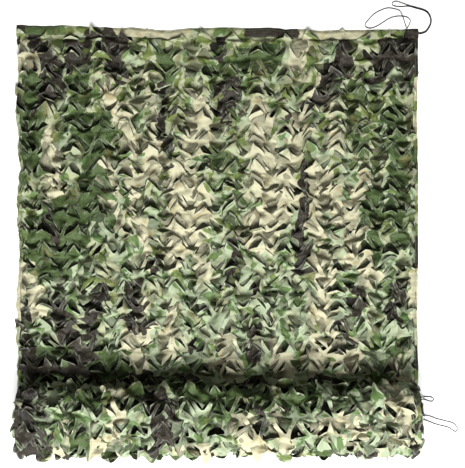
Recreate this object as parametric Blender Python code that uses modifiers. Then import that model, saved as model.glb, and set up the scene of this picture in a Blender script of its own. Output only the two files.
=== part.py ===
"""Camouflage net: leaf-cut cloth laid flat, with the rest of its length in a roll.

Units are metres and +Z is up.  The net lies on z = 0 with its origin at the bottom centre:
X runs across the net, and Y from the roll at -Y to the free hem at +Y.
"""
import math
import random

import bmesh
import bpy
import numpy as np
from mathutils import Vector
from mathutils.bvhtree import BVHTree
from mathutils.geometry import delaunay_2d_cdt

# ---- driving dimensions ----------------------------------------------------------------------
NET_WIDTH = 1.500            # across, edge to edge
LAID_LENGTH = 1.594          # free hem to the far side of the roll
CLOTH = 0.0025               # leaf-cut cloth with its crimp
TAPE = 0.0010                # edge binding
GAP = 0.0003                 # clearance between neighbouring pieces

TOP_BINDING = 0.034          # width of the binding on the free hem
SIDE_BINDING = 0.0135        # width of the bindings down the sides
EDGE_STEP = 0.075            # spacing of the points along an edge
SIDE_WAVE = 0.003            # how far the side edges wander inwards

ROLL_WIDTH = 0.261
ROLL_HEIGHT = 0.194
ROLL_LENGTH = 1.490
ROLL_SQUASH = 0.006          # depth by which the roll's weight flattens it on the floor
ROLL_POWER = 2.3             # superellipse power of the roll's section
ROLL_SIDES = 24
FREE_HEIGHTS = (0.035, 0.075)   # the roll's surface is even below the first, leafy above the second
ROLL_STATION = 0.052         # half a leaf repeat
ROLL_TURNS = 5               # main turns that show on the ends
LEAF_DENT = 0.015            # deepest hollow between leaf tips on the roll
LEAF_PEAKS = (0.00, 0.25)    # how far leaf tips lie in, as shares of LEAF_DENT
LEAF_HOLLOWS = (0.55, 1.00)  # the same for the hollows
ROLL_SWAY = 0.004            # half the slow swing of the roll's surface along its length
RIM_DRAW = (0.009, 0.006)    # how far the roll's rim draws in at its foot, and more above it
END_GROOVE = 0.012           # depth of the spiral groove on the roll's ends
END_ROUND = 0.020            # how far in from its ends the roll is rounded

COLUMNS = 15                 # leaf repeats across
ROWS = 18                    # leaf repeats down the flat stretch
ROW_PITCH = 0.073
FIRST_ROW = 0.735            # hinge line of the first row of leaves
LEAF_HALF_WIDTH = 0.028
LEAF_DEPTH = 0.038           # hinge to the far side of the gap
LEAF_TIP = 0.021             # hinge to the curled leaf's tip, seen from above
LEAF_LIFT = (0.009, 0.024)   # range of heights of the leaf tips that stand over gaps
UP_LEAF_LIFT = (0.006, 0.016)   # the same for the leaves between, which point back up the net
UP_LEAF_DOWN = 0.049         # hinge line of a row to the tips of the leaves between

CORD = 0.003                 # diameter of the tie cord
CORD_STEP = 3.2 * CORD
CORD_ON_FLOOR = CORD / 2
CORD_OVER = 1.5 * CORD + 2 * GAP   # height of a cord's middle where it crosses another
CORD_PAIR = CORD + 2 * GAP   # spacing of the two strands of the doubled loop

# ---- derived sizes ---------------------------------------------------------------------------
HALF_WIDTH = NET_WIDTH / 2
TOP_Y = LAID_LENGTH / 2
COLUMN_PITCH = NET_WIDTH / COLUMNS
HEM_LIFT = TAPE + GAP        # height of the cloth where it lies inside a binding
HEM_THICK = 2 * TAPE + 2 * GAP + CLOTH
HEM_TOP_CORD = HEM_THICK + GAP + CORD / 2   # height of a cord lying on a binding
ROLL_Y = -TOP_Y + ROLL_WIDTH / 2
ROLL_HALF_HEIGHT = (ROLL_HEIGHT + ROLL_SQUASH) / 2
ROLL_Z = ROLL_HALF_HEIGHT - ROLL_SQUASH
ROLL_END_X = ROLL_LENGTH / 2

# How far the free hem lies in from TOP_Y, at equal steps from its left end to its right end
HEM_DROPS = (0.000, 0.001, 0.007, 0.016, 0.009, 0.010, 0.018, 0.017, 0.013)

COLOURS = {                  # base colour, roughness
    "leaf_cloth": ((0.145, 0.175, 0.075, 1.0), 0.75),
    "rolled_cloth": ((0.190, 0.210, 0.105, 1.0), 0.75),
    "binding_cloth": ((0.330, 0.350, 0.200, 1.0), 0.70),
    "tie_cord": ((0.015, 0.015, 0.016, 1.0), 0.45),
}

# Routes of the tie loops, in metres: x, y, height of the cord's middle
OPEN_LOOP = (
    (0.697, 0.754, HEM_TOP_CORD),
    (0.701, 0.768, HEM_TOP_CORD),
    (0.705, 0.781, HEM_TOP_CORD),
    (0.703, 0.794, 0.0045),
    (0.698, 0.810, CORD_ON_FLOOR),
    (0.691, 0.829, CORD_OVER),
    (0.682, 0.849, CORD_ON_FLOOR),
    (0.664, 0.857, CORD_ON_FLOOR),
    (0.631, 0.860, CORD_ON_FLOOR),
    (0.590, 0.842, CORD_ON_FLOOR),
    (0.565, 0.818, CORD_ON_FLOOR),
    (0.551, 0.799, CORD_ON_FLOOR),
    (0.558, 0.788, CORD_ON_FLOOR),
    (0.577, 0.786, CORD_ON_FLOOR),
    (0.602, 0.797, CORD_ON_FLOOR),
    (0.642, 0.822, CORD_ON_FLOOR),
    (0.672, 0.830, CORD_ON_FLOOR),
    (0.704, 0.828, CORD_ON_FLOOR),
    (0.720, 0.815, CORD_ON_FLOOR),
    (0.716, 0.799, CORD_ON_FLOOR),
    (0.711, 0.789, CORD_ON_FLOOR),
    (0.709, 0.7845, CORD_ON_FLOOR),
)
DOUBLED_STRETCH = (
    (0.7504, 0.766, 0.0025),
    (0.762, 0.767, CORD_ON_FLOOR),
    (0.780, 0.775, CORD_ON_FLOOR),
    (0.795, 0.800, CORD_ON_FLOOR),
    (0.796, 0.823, CORD_ON_FLOOR),
    (0.785, 0.844, CORD_ON_FLOOR),
    (0.768, 0.854, CORD_ON_FLOOR),
    (0.740, 0.862, CORD_ON_FLOOR),
    (0.714, 0.869, CORD_ON_FLOOR),
)
DOUBLED_EYE = (
    (0.690, 0.879, CORD_ON_FLOOR),
    (0.668, 0.886, CORD_ON_FLOOR),
    (0.653, 0.881, CORD_ON_FLOOR),
    (0.655, 0.871, CORD_ON_FLOOR),
    (0.672, 0.866, CORD_ON_FLOOR),
    (0.692, 0.866, CORD_ON_FLOOR),
)
SHORT_ROLL_LOOP = (
    (0.740, -0.593, 0.030),
    (0.750, -0.593, 0.029),
    (0.760, -0.592, 0.018),
    (0.770, -0.591, 0.004),
    (0.784, -0.591, CORD_ON_FLOOR),
    (0.798, -0.592, CORD_ON_FLOOR),
    (0.807, -0.599, CORD_ON_FLOOR),
    (0.801, -0.608, CORD_ON_FLOOR),
    (0.788, -0.606, CORD_ON_FLOOR),
    (0.772, -0.601, 0.004),
    (0.761, -0.600, 0.018),
    (0.751, -0.601, 0.029),
    (0.740, -0.601, 0.030),
)
LONG_ROLL_LOOP = (
    (0.740, -0.664, 0.032),
    (0.750, -0.664, 0.031),
    (0.761, -0.662, 0.019),
    (0.773, -0.660, 0.004),
    (0.793, -0.663, CORD_ON_FLOOR),
    (0.820, -0.673, CORD_ON_FLOOR),
    (0.851, -0.681, CORD_ON_FLOOR),
    (0.879, -0.689, CORD_ON_FLOOR),
    (0.892, -0.701, CORD_ON_FLOOR),
    (0.896, -0.714, CORD_ON_FLOOR),
    (0.888, -0.721, CORD_ON_FLOOR),
    (0.876, -0.714, CORD_ON_FLOOR),
    (0.861, -0.705, CORD_ON_FLOOR),
    (0.815, -0.693, CORD_ON_FLOOR),
    (0.793, -0.684, CORD_ON_FLOOR),
    (0.773, -0.677, 0.004),
    (0.761, -0.674, 0.019),
    (0.750, -0.673, 0.031),
    (0.740, -0.673, 0.032),
)


def clear_scene():
    for obj in list(bpy.data.objects):
        bpy.data.objects.remove(obj, do_unlink=True)


def make_materials():
    made = {}
    for name, (colour, roughness) in COLOURS.items():
        material = bpy.data.materials.new(name)
        material.use_nodes = True
        shader = material.node_tree.nodes["Principled BSDF"]
        shader.inputs["Base Color"].default_value = colour
        shader.inputs["Roughness"].default_value = roughness
        shader.inputs["Metallic"].default_value = 0.0
        material.diffuse_color = colour
        made[name] = material
    return made


def place(obj, collection, material):
    obj.data.materials.append(material)
    collection.objects.link(obj)
    return obj


def mesh_object(name, points, faces):
    mesh = bpy.data.meshes.new(name)
    mesh.from_pydata([tuple(p) for p in points], [], faces)
    mesh.validate()
    mesh.update()
    return bpy.data.objects.new(name, mesh)


def thicken(obj, thickness, offset):
    """Solidify an open surface; offset 1 adds the thickness on the side its faces point to."""
    solid = obj.modifiers.new("thickness", "SOLIDIFY")
    solid.thickness = thickness
    solid.offset = offset
    solid.use_even_offset = True
    return obj


def ramp(value, low, high):
    """0 below low, 1 above high and a smooth step between."""
    t = min(max((value - low) / (high - low), 0.0), 1.0)
    return t * t * (3 - 2 * t)


# ---- the edges of the net --------------------------------------------------------------------
def hem_y(x):
    """Outer edge of the free hem at x."""
    stations = np.linspace(-HALF_WIDTH, HALF_WIDTH, len(HEM_DROPS))
    return TOP_Y - float(np.interp(x, stations, HEM_DROPS))


def side_x(y):
    """Outer edge of either side at y, as a distance from the middle."""
    return HALF_WIDTH - SIDE_WAVE * 0.5 * (1 - math.cos(9.0 * (TOP_Y - y)))


def steps(start, end, step):
    count = max(1, round(abs(end - start) / step))
    return [start + (end - start) * i / count for i in range(count + 1)]


# ---- the roll --------------------------------------------------------------------------------
def roll_section():
    """Points (y, z) round the roll: a superellipse, cut flat where it rests on the floor."""
    points = []
    for k in range(ROLL_SIDES):
        angle = 2 * math.pi * (k + 0.5) / ROLL_SIDES
        across = math.copysign(abs(math.cos(angle)) ** (2 / ROLL_POWER), math.cos(angle))
        upward = math.copysign(abs(math.sin(angle)) ** (2 / ROLL_POWER), math.sin(angle))
        height = ROLL_Z + ROLL_HALF_HEIGHT * upward
        points.append((ROLL_Y + ROLL_WIDTH / 2 * across, max(height, 0.0)))
    return points


def nip_y():
    """Where the roll's underside has risen just enough to clear the hemmed cloth beneath it."""
    clear = HEM_LIFT + CLOTH + GAP
    under = [p for p in roll_section() if p[0] > ROLL_Y and p[1] < ROLL_Z]
    under.sort()
    return float(np.interp(clear, [p[1] for p in under], [p[0] for p in under]))


def roll_height_y(height):
    """Y of the roll's flat-stretch side at a height below its middle."""
    under = sorted(p for p in roll_section() if p[0] > ROLL_Y and p[1] < ROLL_Z)
    return float(np.interp(height, [p[1] for p in under], [p[0] for p in under]))


def is_leaf_tip(station, place):
    """Leaf tips and the hollows between them alternate along and round the roll."""
    return (station + place) % 2 == 0


def make_roll():
    """A loft of dented sections along X, closed by ends with one spiral groove each."""
    draw = random.Random(11)
    section = roll_section()
    inner = steps(-ROLL_END_X + END_ROUND, ROLL_END_X - END_ROUND, ROLL_STATION)
    stations = [-ROLL_END_X] + inner + [ROLL_END_X]
    points = []
    for i, x in enumerate(stations):
        at_end = i in (0, len(stations) - 1)
        for k, (y, z) in enumerate(section):
            out = Vector((0.0, y - ROLL_Y, z - ROLL_Z))
            free = ramp(z, *FREE_HEIGHTS)
            dent = draw.uniform(*(LEAF_PEAKS if is_leaf_tip(i, k) else LEAF_HOLLOWS))
            sway = ROLL_SWAY * (1 + math.sin(5.0 * x + 2.0 * math.pi * k / ROLL_SIDES))
            shrink = (dent * LEAF_DENT + sway) * free
            if at_end:
                shrink = RIM_DRAW[0] + RIM_DRAW[1] * free
            out -= out.normalized() * shrink
            points.append((x, ROLL_Y + out.y, max(ROLL_Z + out.z, 0.0)))
    faces = []
    n = ROLL_SIDES
    for i in range(len(stations) - 1):
        for k in range(n):
            a = i * n + k
            b = i * n + (k + 1) % n
            if is_leaf_tip(i, k):            # split each square so that leaf tips stand as peaks
                faces += [(a, b, a + n), (b, b + n, a + n)]
            else:
                faces += [(a, b, b + n), (a, b + n, a + n)]
    for side in (-1, 1):
        rim = 0 if side < 0 else (len(stations) - 1) * n
        add_roll_end(points, faces, rim, side)
    obj = mesh_object("net_roll", points, faces)
    obj.data.shade_smooth()
    obj.data.set_sharp_from_angle(angle=math.radians(50))
    return obj


def add_roll_end(points, faces, rim, side):
    """Rings from the rim to the middle, pushed in along a spiral of ROLL_TURNS turns."""
    n = ROLL_SIDES
    rings = 2 * ROLL_TURNS
    outer = [points[rim + k] for k in range(n)]
    previous = rim
    for ring in range(1, rings):
        share = 1 - ring / rings
        first = len(points)
        for k, (x, y, z) in enumerate(outer):
            turn = (share * ROLL_TURNS + side * k / n) % 1.0
            groove = END_GROOVE * (1 - abs(2 * turn - 1))
            y_in = ROLL_Y + (y - ROLL_Y) * share
            z_in = ROLL_Z + (z - ROLL_Z) * share
            points.append((x - side * groove, y_in, z_in))
        for k in range(n):
            nxt = (k + 1) % n
            ring_face = (previous + k, first + k, first + nxt, previous + nxt)
            faces.append(ring_face if side < 0 else ring_face[::-1])
        previous = first
    middle = len(points)
    points.append((outer[0][0] - side * END_GROOVE / 2, ROLL_Y, ROLL_Z))
    for k in range(n):
        fan = (previous + k, middle, previous + (k + 1) % n)
        faces.append(fan if side < 0 else fan[::-1])


# ---- the flat stretch ------------------------------------------------------------------------
def flat_outline(inset, top_inset, end_y):
    """Corner-to-corner points (x, y) of the flat stretch, inset from its outer edges."""
    left_top = hem_y(-HALF_WIDTH) - top_inset
    right_top = hem_y(HALF_WIDTH) - top_inset
    top = [(x, hem_y(x) - top_inset) for x in steps(-HALF_WIDTH, HALF_WIDTH, EDGE_STEP)[1:-1]]
    right = [(side_x(y) - inset, y) for y in side_stations(right_top, end_y)]
    left = [(inset - side_x(y), y) for y in side_stations(left_top, end_y)]
    return top, right, left


def side_stations(top_y, end_y):
    return [top_y] + steps(TOP_Y - 0.1, end_y, EDGE_STEP)


def leaf_gap(x, y, draw):
    """The gap round one leaf: two hinge ends, the far side of the gap and the leaf's blunt tip.

    Each point is (x, y, height); the hinge ends come first and fourth.
    """
    half = LEAF_HALF_WIDTH + draw.uniform(-0.003, 0.001)
    skew = draw.uniform(-0.004, 0.004)
    blunt = draw.uniform(0.006, 0.011)
    depth = LEAF_DEPTH + draw.uniform(-0.003, 0.003)
    tip = LEAF_TIP + draw.uniform(-0.005, 0.004)
    left_lift = draw.uniform(*LEAF_LIFT)
    right_lift = draw.uniform(*LEAF_LIFT)
    return (
        (x - half, y + draw.uniform(-0.003, 0.003), 0.0),
        (x - blunt + skew, y - depth, 0.0),
        (x + blunt + skew, y - depth, 0.0),
        (x + half, y + draw.uniform(-0.003, 0.003), 0.0),
        (x + blunt + skew, y - tip, right_lift),
        (x - blunt + skew, y - tip, left_lift),
    )


def is_within(spot, outline):
    """Even-odd test of a spot (x, y) against a closed outline."""
    crossings = 0
    for a, b in zip(outline, outline[1:] + outline[:1]):
        if (a[1] > spot[1]) != (b[1] > spot[1]):
            crossings += spot[0] < a[0] + (spot[1] - a[1]) * (b[0] - a[0]) / (b[1] - a[1])
    return crossings % 2 == 1


def make_flat_cloth():
    """Triangulated cloth with a gap at every leaf, thickened upwards from the floor."""
    draw = random.Random(5)
    end_y = nip_y()
    points = []
    edges = []
    gaps = []

    def add_line(line, closed):
        first = len(points)
        points.extend(line)
        last = len(points) - 1
        edges.extend((i, i + 1) for i in range(first, last))
        if closed:
            edges.append((last, first))
        return list(range(first, last + 1))

    top, right, left = flat_outline(HEM_LIFT, HEM_LIFT, end_y)
    end = [(x, end_y) for x in steps(HALF_WIDTH, -HALF_WIDTH, EDGE_STEP)[1:-1]]
    border = add_line([(x, y, HEM_LIFT) for x, y in top + right + end + left[::-1]], True)
    top, right, left = flat_outline(SIDE_BINDING + HEM_LIFT, TOP_BINDING + HEM_LIFT, end_y + GAP)
    margin = left[::-1] + [p for p in top if abs(p[0]) < HALF_WIDTH - EDGE_STEP / 2] + right
    add_line([(x, y, HEM_LIFT) for x, y in margin], False)
    for row in range(ROWS):
        hinge_y = FIRST_ROW - row * ROW_PITCH
        for column in range(COLUMNS):
            x = (column + 0.5) * COLUMN_PITCH - HALF_WIDTH
            gap = add_line(leaf_gap(x, hinge_y, draw), True)
            edges.append((gap[3], gap[0]))
            gaps.append(gap)
            if column + 1 < COLUMNS:
                up_x = x + COLUMN_PITCH / 2 + draw.uniform(-0.006, 0.006)
                up_y = hinge_y - UP_LEAF_DOWN + draw.uniform(-0.004, 0.004)
                near_roll = ramp(up_y, -0.56, -0.50)
                points.append((up_x, up_y, draw.uniform(*UP_LEAF_LIFT) * near_roll))

    flat_points, _, flat_faces, from_points, _, _ = delaunay_2d_cdt(
        [Vector(p[:2]) for p in points], edges, [], 0, 1e-6)
    sources = [source[0] for source in from_points]
    gap_of = {index: gap for gap in gaps for index in gap}

    def is_cloth(face):
        corners = [sources[v] for v in face]
        middle = [sum(points[c][axis] for c in corners) / 3 for axis in (0, 1)]
        gap = gap_of.get(corners[0])
        if gap is not None and all(gap_of.get(c) is gap for c in corners):
            return not is_within(middle, [points[c] for c in gap])
        return is_within(middle, [points[c] for c in border])

    cloth_points = [(p.x, p.y, points[source][2]) for p, source in zip(flat_points, sources)]
    obj = mesh_object("net_sheet", cloth_points, [f for f in flat_faces if is_cloth(f)])
    clean = bmesh.new()
    clean.from_mesh(obj.data)
    loose = [v for v in clean.verts if not v.link_faces]
    bmesh.ops.delete(clean, geom=loose, context="VERTS")
    bmesh.ops.recalc_face_normals(clean, faces=clean.faces)
    if sum(face.normal.z for face in clean.faces) < 0:
        bmesh.ops.reverse_faces(clean, faces=clean.faces)
    clean.to_mesh(obj.data)
    clean.free()
    return thicken(obj, CLOTH, 1.0)


# ---- the bindings ----------------------------------------------------------------------------
def make_binding(name, edge, inward, width):
    """A tape folded over the edge: the middle surface of a U carried along the edge's points."""
    mid = TAPE / 2
    profile = ((width, mid), (mid, mid), (mid, HEM_THICK - mid), (width, HEM_THICK - mid))
    points = []
    for x, y in edge:
        for depth, z in profile:
            points.append((x + inward[0] * depth, y + inward[1] * depth, z))
    n = len(profile)
    faces = []
    for i in range(len(edge) - 1):
        for k in range(n - 1):
            a = i * n + k
            faces.append((a, a + 1, a + n + 1, a + n))
    return thicken(mesh_object(name, points, faces), TAPE, 0.0)


def make_bindings():
    xs = steps(-HALF_WIDTH, HALF_WIDTH, EDGE_STEP)
    made = [make_binding("binding_top", [(x, hem_y(x)) for x in xs], (0, -1), TOP_BINDING)]
    end_y = roll_height_y(HEM_THICK + GAP)
    for name, side in (("binding_left", -1), ("binding_right", 1)):
        start_y = hem_y(side * HALF_WIDTH) - TOP_BINDING - TAPE
        stations = [start_y] + [y for y in steps(TOP_Y - 0.1, nip_y(), EDGE_STEP) if y > end_y]
        edge = [(side * side_x(y), y) for y in stations + [end_y]]
        made.append(make_binding(name, edge, (-side, 0), SIDE_BINDING))
    return made


# ---- the tie loops ---------------------------------------------------------------------------
def smooth_route(route, step, lowest):
    """Evenly spaced points on the Catmull-Rom curve through a route's points."""
    p = np.array(route, dtype=float)
    p = np.vstack([2 * p[0] - p[1], p, 2 * p[-1] - p[-2]])
    t = np.linspace(0.0, 1.0, 24, endpoint=False)[:, None]
    fine = [
        0.5 * (2 * b + (c - a) * t + (2 * a - 5 * b + 4 * c - d) * t ** 2
               + (3 * b - a - 3 * c + d) * t ** 3)
        for a, b, c, d in zip(p[:-3], p[1:-2], p[2:-1], p[3:])
    ]
    fine = np.vstack(fine + [p[-2:-1]])
    fine[:, 2] = np.maximum(fine[:, 2], lowest)
    run = np.concatenate([[0.0], np.cumsum(np.linalg.norm(np.diff(fine, axis=0), axis=1))])
    spots = np.linspace(0.0, run[-1], round(run[-1] / step) + 1)
    return np.column_stack([np.interp(spots, run, fine[:, axis]) for axis in range(3)])


def doubled_route():
    """Out along one side of the doubled stretch, round the eye and back along the other side."""
    middle = np.array(DOUBLED_STRETCH)
    along = np.gradient(middle, axis=0)
    normal = np.column_stack([-along[:, 1], along[:, 0], np.zeros(len(middle))])
    normal /= np.linalg.norm(normal, axis=1)[:, None]
    first = middle - normal * CORD_PAIR / 2
    second = middle + normal * CORD_PAIR / 2
    return np.vstack([first, np.array(DOUBLED_EYE), second[::-1]])


def seat_on_roll(route, roll):
    """The route with both of its ends moved in X to meet the roll's end face."""
    surface = BVHTree.FromPolygons(
        [v.co for v in roll.data.vertices], [f.vertices for f in roll.data.polygons])
    seated = [list(point) for point in route]
    for end in (seated[0], seated[-1]):
        reach = CORD / 2 + GAP
        rim = [(0, 0), (reach, 0), (-reach, 0), (0, reach), (0, -reach)]
        starts = [Vector((NET_WIDTH, end[1] + dy, end[2] + dz)) for dy, dz in rim]
        hits = [surface.ray_cast(start, Vector((-1, 0, 0)))[0] for start in starts]
        end[0] = max(hit.x for hit in hits) + GAP
    return seated


def make_tie_loop(name, route):
    curve = bpy.data.curves.new(name, "CURVE")
    curve.dimensions = "3D"
    curve.bevel_depth = CORD / 2
    curve.bevel_resolution = 2
    curve.use_fill_caps = True
    points = smooth_route(route, CORD_STEP, CORD_ON_FLOOR)
    spline = curve.splines.new("POLY")
    spline.points.add(len(points) - 1)
    for spot, point in zip(spline.points, points):
        spot.co = (*point, 1.0)
    return bpy.data.objects.new(name, curve)


def main():
    clear_scene()
    materials = make_materials()
    net = bpy.data.collections.new("camouflage_net")
    bpy.context.scene.collection.children.link(net)
    place(make_flat_cloth(), net, materials["leaf_cloth"])
    roll = place(make_roll(), net, materials["rolled_cloth"])
    for binding in make_bindings():
        place(binding, net, materials["binding_cloth"])
    loops = {
        "tie_loop_open": OPEN_LOOP,
        "tie_loop_doubled": doubled_route(),
        "tie_loop_roll_short": seat_on_roll(SHORT_ROLL_LOOP, roll),
        "tie_loop_roll_long": seat_on_roll(LONG_ROLL_LOOP, roll),
    }
    for name, route in loops.items():
        place(make_tie_loop(name, route), net, materials["tie_cord"])


main()
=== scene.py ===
"""Looks of the camouflage net: leaf-cut cloth, partly rolled, with bound edges and tie loops.

Units are metres and +Z is up.  The cloth is worked out unrolled, as points (x, down, height):
x runs across the net, down runs from the first row of leaves towards the roll and on into it,
and height is measured from the cloth's resting line.  A path then lays those points flat or
winds them round the roll.
"""
import math

import bpy
import numpy as np
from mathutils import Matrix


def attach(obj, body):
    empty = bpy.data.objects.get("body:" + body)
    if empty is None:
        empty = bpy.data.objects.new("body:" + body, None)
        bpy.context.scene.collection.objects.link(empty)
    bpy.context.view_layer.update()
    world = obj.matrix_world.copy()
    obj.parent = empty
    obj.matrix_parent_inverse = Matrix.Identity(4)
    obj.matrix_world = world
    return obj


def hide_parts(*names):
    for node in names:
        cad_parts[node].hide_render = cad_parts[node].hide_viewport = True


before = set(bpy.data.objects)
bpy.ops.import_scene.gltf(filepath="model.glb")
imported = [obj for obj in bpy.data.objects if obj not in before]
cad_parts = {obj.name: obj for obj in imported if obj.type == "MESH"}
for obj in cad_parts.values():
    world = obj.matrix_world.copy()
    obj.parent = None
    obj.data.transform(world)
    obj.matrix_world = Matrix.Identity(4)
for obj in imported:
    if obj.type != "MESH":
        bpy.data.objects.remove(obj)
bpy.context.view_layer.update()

# ---- sizes shared with the frame -------------------------------------------------------------
NET_WIDTH = 1.500
LAID_LENGTH = 1.594
HALF_WIDTH = NET_WIDTH / 2
TOP_Y = LAID_LENGTH / 2
HEM_DROPS = (0.000, 0.001, 0.007, 0.016, 0.009, 0.010, 0.018, 0.017, 0.013)
SIDE_WAVE = 0.003
TOP_BINDING = 0.034
SIDE_BINDING = 0.0135
HEM_THICK = 0.0051
FIRST_ROW = 0.735
ROLL_WIDTH = 0.261
ROLL_HEIGHT = 0.194
ROLL_SQUASH = 0.006
ROLL_POWER = 2.3
ROLL_Y = -TOP_Y + ROLL_WIDTH / 2
ROLL_Z = (ROLL_HEIGHT + ROLL_SQUASH) / 2 - ROLL_SQUASH
ROLL_LENGTH = 1.490

FLOOR_GAP = 0.0008           # the cloth stays this far over the floor

CORD = 0.003
CORD_ON_FLOOR = CORD / 2
CORD_OVER = 0.0051
CORD_PAIR = 0.0036
HEM_TOP_CORD = 0.0069

# ---- camera ----------------------------------------------------------------------------------
FLOOR_PER_PIXEL = 0.003736       # metres of floor across one pixel of the frame
FRAME_HEIGHT = 468               # pixels
CAMERA_HEIGHT = 8.0
CAMERA_XY = (0.056, 0.017)


def make_camera():
    data = bpy.data.cameras.new("camera")
    data.sensor_width = 36.0
    data.lens = data.sensor_width * CAMERA_HEIGHT / (FLOOR_PER_PIXEL * FRAME_HEIGHT)
    camera = bpy.data.objects.new("camera", data)
    camera.location = (*CAMERA_XY, CAMERA_HEIGHT)
    bpy.context.scene.collection.objects.link(camera)
    bpy.context.scene.camera = camera


make_camera()


# ---- meshes from arrays ----------------------------------------------------------------------
def add_piece(name, points, quads, flat, fields=None, printed=None):
    """Mesh object of quads, with UV maps and float attributes given point by point.

    flat is the place in the cloth, for its weave; printed is the place in its print, if another.
    """
    points = np.asarray(points, dtype=np.float32).reshape(-1, 3)
    quads = np.asarray(quads, dtype=np.int32).reshape(-1, 4)
    used, quads = np.unique(quads, return_inverse=True)
    quads = quads.reshape(-1, 4).astype(np.int32)
    mesh = bpy.data.meshes.new(name)
    mesh.vertices.add(len(used))
    mesh.vertices.foreach_set("co", points[used].ravel())
    mesh.loops.add(quads.size)
    mesh.loops.foreach_set("vertex_index", quads.ravel())
    mesh.polygons.add(len(quads))
    mesh.polygons.foreach_set("loop_start", np.arange(0, quads.size, 4, dtype=np.int32))
    mesh.update(calc_edges=True)
    for map_name, places in (("cloth_map", flat), ("print_map", flat if printed is None else printed)):
        places = np.asarray(places, dtype=np.float32).reshape(-1, 2)[used]
        layer = mesh.uv_layers.new(name=map_name)
        layer.data.foreach_set("uv", places[quads.ravel()].ravel())
    for field, values in (fields or {}).items():
        values = np.asarray(values, dtype=np.float32).ravel()[used]
        mesh.attributes.new(field, "FLOAT", "POINT").data.foreach_set("value", values)
    mesh.polygons.foreach_set("use_smooth", np.ones(len(quads), dtype=bool))
    obj = bpy.data.objects.new(name, mesh)
    bpy.context.scene.collection.objects.link(obj)
    return obj


def fit(piece, slot, *nodes):
    """Ties a piece to the frame: it rides on the net and stands for the nodes, which it hides."""
    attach(piece, "root")
    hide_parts(*nodes)
    return piece


def grid_quads(ids):
    """Quads between neighbours of one or more grids of point numbers (..., rows, columns)."""
    corners = (ids[..., :-1, :-1], ids[..., :-1, 1:], ids[..., 1:, 1:], ids[..., 1:, :-1])
    return np.stack(corners, axis=-1)


def noise(u, v, size_u, size_v, seed):
    """Smooth random field, -1 to 1: random values on a grid of size_u by size_v, eased between."""
    table = np.random.default_rng(seed).uniform(-1, 1, (128, 128))
    a = u / size_u + 1000.37
    b = v / size_v + 1000.61
    i = np.floor(a).astype(int)
    j = np.floor(b).astype(int)
    f = a - i
    g = b - j
    f = f * f * (3 - 2 * f)
    g = g * g * (3 - 2 * g)
    i0, i1, j0, j1 = i % 128, (i + 1) % 128, j % 128, (j + 1) % 128
    low = table[i0, j0] * (1 - f) + table[i1, j0] * f
    high = table[i0, j1] * (1 - f) + table[i1, j1] * f
    return low * (1 - g) + high * g


def cap_quads(ring):
    """Quads across a flat ring with an even count of points."""
    n = len(ring)
    k = np.arange(n // 2 - 1)
    return np.stack([ring[k], ring[k + 1], ring[n - 2 - k], ring[n - 1 - k]], axis=-1)


def unit(vectors):
    return vectors / np.linalg.norm(vectors, axis=-1, keepdims=True)


# ---- the tie loops ---------------------------------------------------------------------------
OPEN_LOOP = (
    (0.697, 0.754, HEM_TOP_CORD),
    (0.701, 0.768, HEM_TOP_CORD),
    (0.705, 0.781, HEM_TOP_CORD),
    (0.703, 0.794, 0.0045),
    (0.698, 0.810, CORD_ON_FLOOR),
    (0.691, 0.829, CORD_OVER),
    (0.682, 0.849, CORD_ON_FLOOR),
    (0.664, 0.857, CORD_ON_FLOOR),
    (0.631, 0.860, CORD_ON_FLOOR),
    (0.590, 0.842, CORD_ON_FLOOR),
    (0.565, 0.818, CORD_ON_FLOOR),
    (0.551, 0.799, CORD_ON_FLOOR),
    (0.558, 0.788, CORD_ON_FLOOR),
    (0.577, 0.786, CORD_ON_FLOOR),
    (0.602, 0.797, CORD_ON_FLOOR),
    (0.642, 0.822, CORD_ON_FLOOR),
    (0.672, 0.830, CORD_ON_FLOOR),
    (0.704, 0.828, CORD_ON_FLOOR),
    (0.720, 0.815, CORD_ON_FLOOR),
    (0.716, 0.799, CORD_ON_FLOOR),
    (0.711, 0.789, CORD_ON_FLOOR),
    (0.709, 0.7845, CORD_ON_FLOOR),
)
DOUBLED_STRETCH = (
    (0.7504, 0.766, 0.0025),
    (0.762, 0.767, CORD_ON_FLOOR),
    (0.780, 0.775, CORD_ON_FLOOR),
    (0.795, 0.800, CORD_ON_FLOOR),
    (0.796, 0.823, CORD_ON_FLOOR),
    (0.785, 0.844, CORD_ON_FLOOR),
    (0.768, 0.854, CORD_ON_FLOOR),
    (0.740, 0.862, CORD_ON_FLOOR),
    (0.714, 0.869, CORD_ON_FLOOR),
)
DOUBLED_EYE = (
    (0.690, 0.879, CORD_ON_FLOOR),
    (0.668, 0.886, CORD_ON_FLOOR),
    (0.653, 0.881, CORD_ON_FLOOR),
    (0.655, 0.871, CORD_ON_FLOOR),
    (0.672, 0.866, CORD_ON_FLOOR),
    (0.692, 0.866, CORD_ON_FLOOR),
)
SHORT_ROLL_LOOP = (
    (0.739, -0.593, 0.030),
    (0.750, -0.593, 0.029),
    (0.760, -0.592, 0.018),
    (0.770, -0.591, 0.004),
    (0.784, -0.591, CORD_ON_FLOOR),
    (0.798, -0.592, CORD_ON_FLOOR),
    (0.807, -0.599, CORD_ON_FLOOR),
    (0.801, -0.608, CORD_ON_FLOOR),
    (0.788, -0.606, CORD_ON_FLOOR),
    (0.772, -0.601, 0.004),
    (0.761, -0.600, 0.018),
    (0.751, -0.601, 0.029),
    (0.740, -0.601, 0.030),
)
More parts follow.
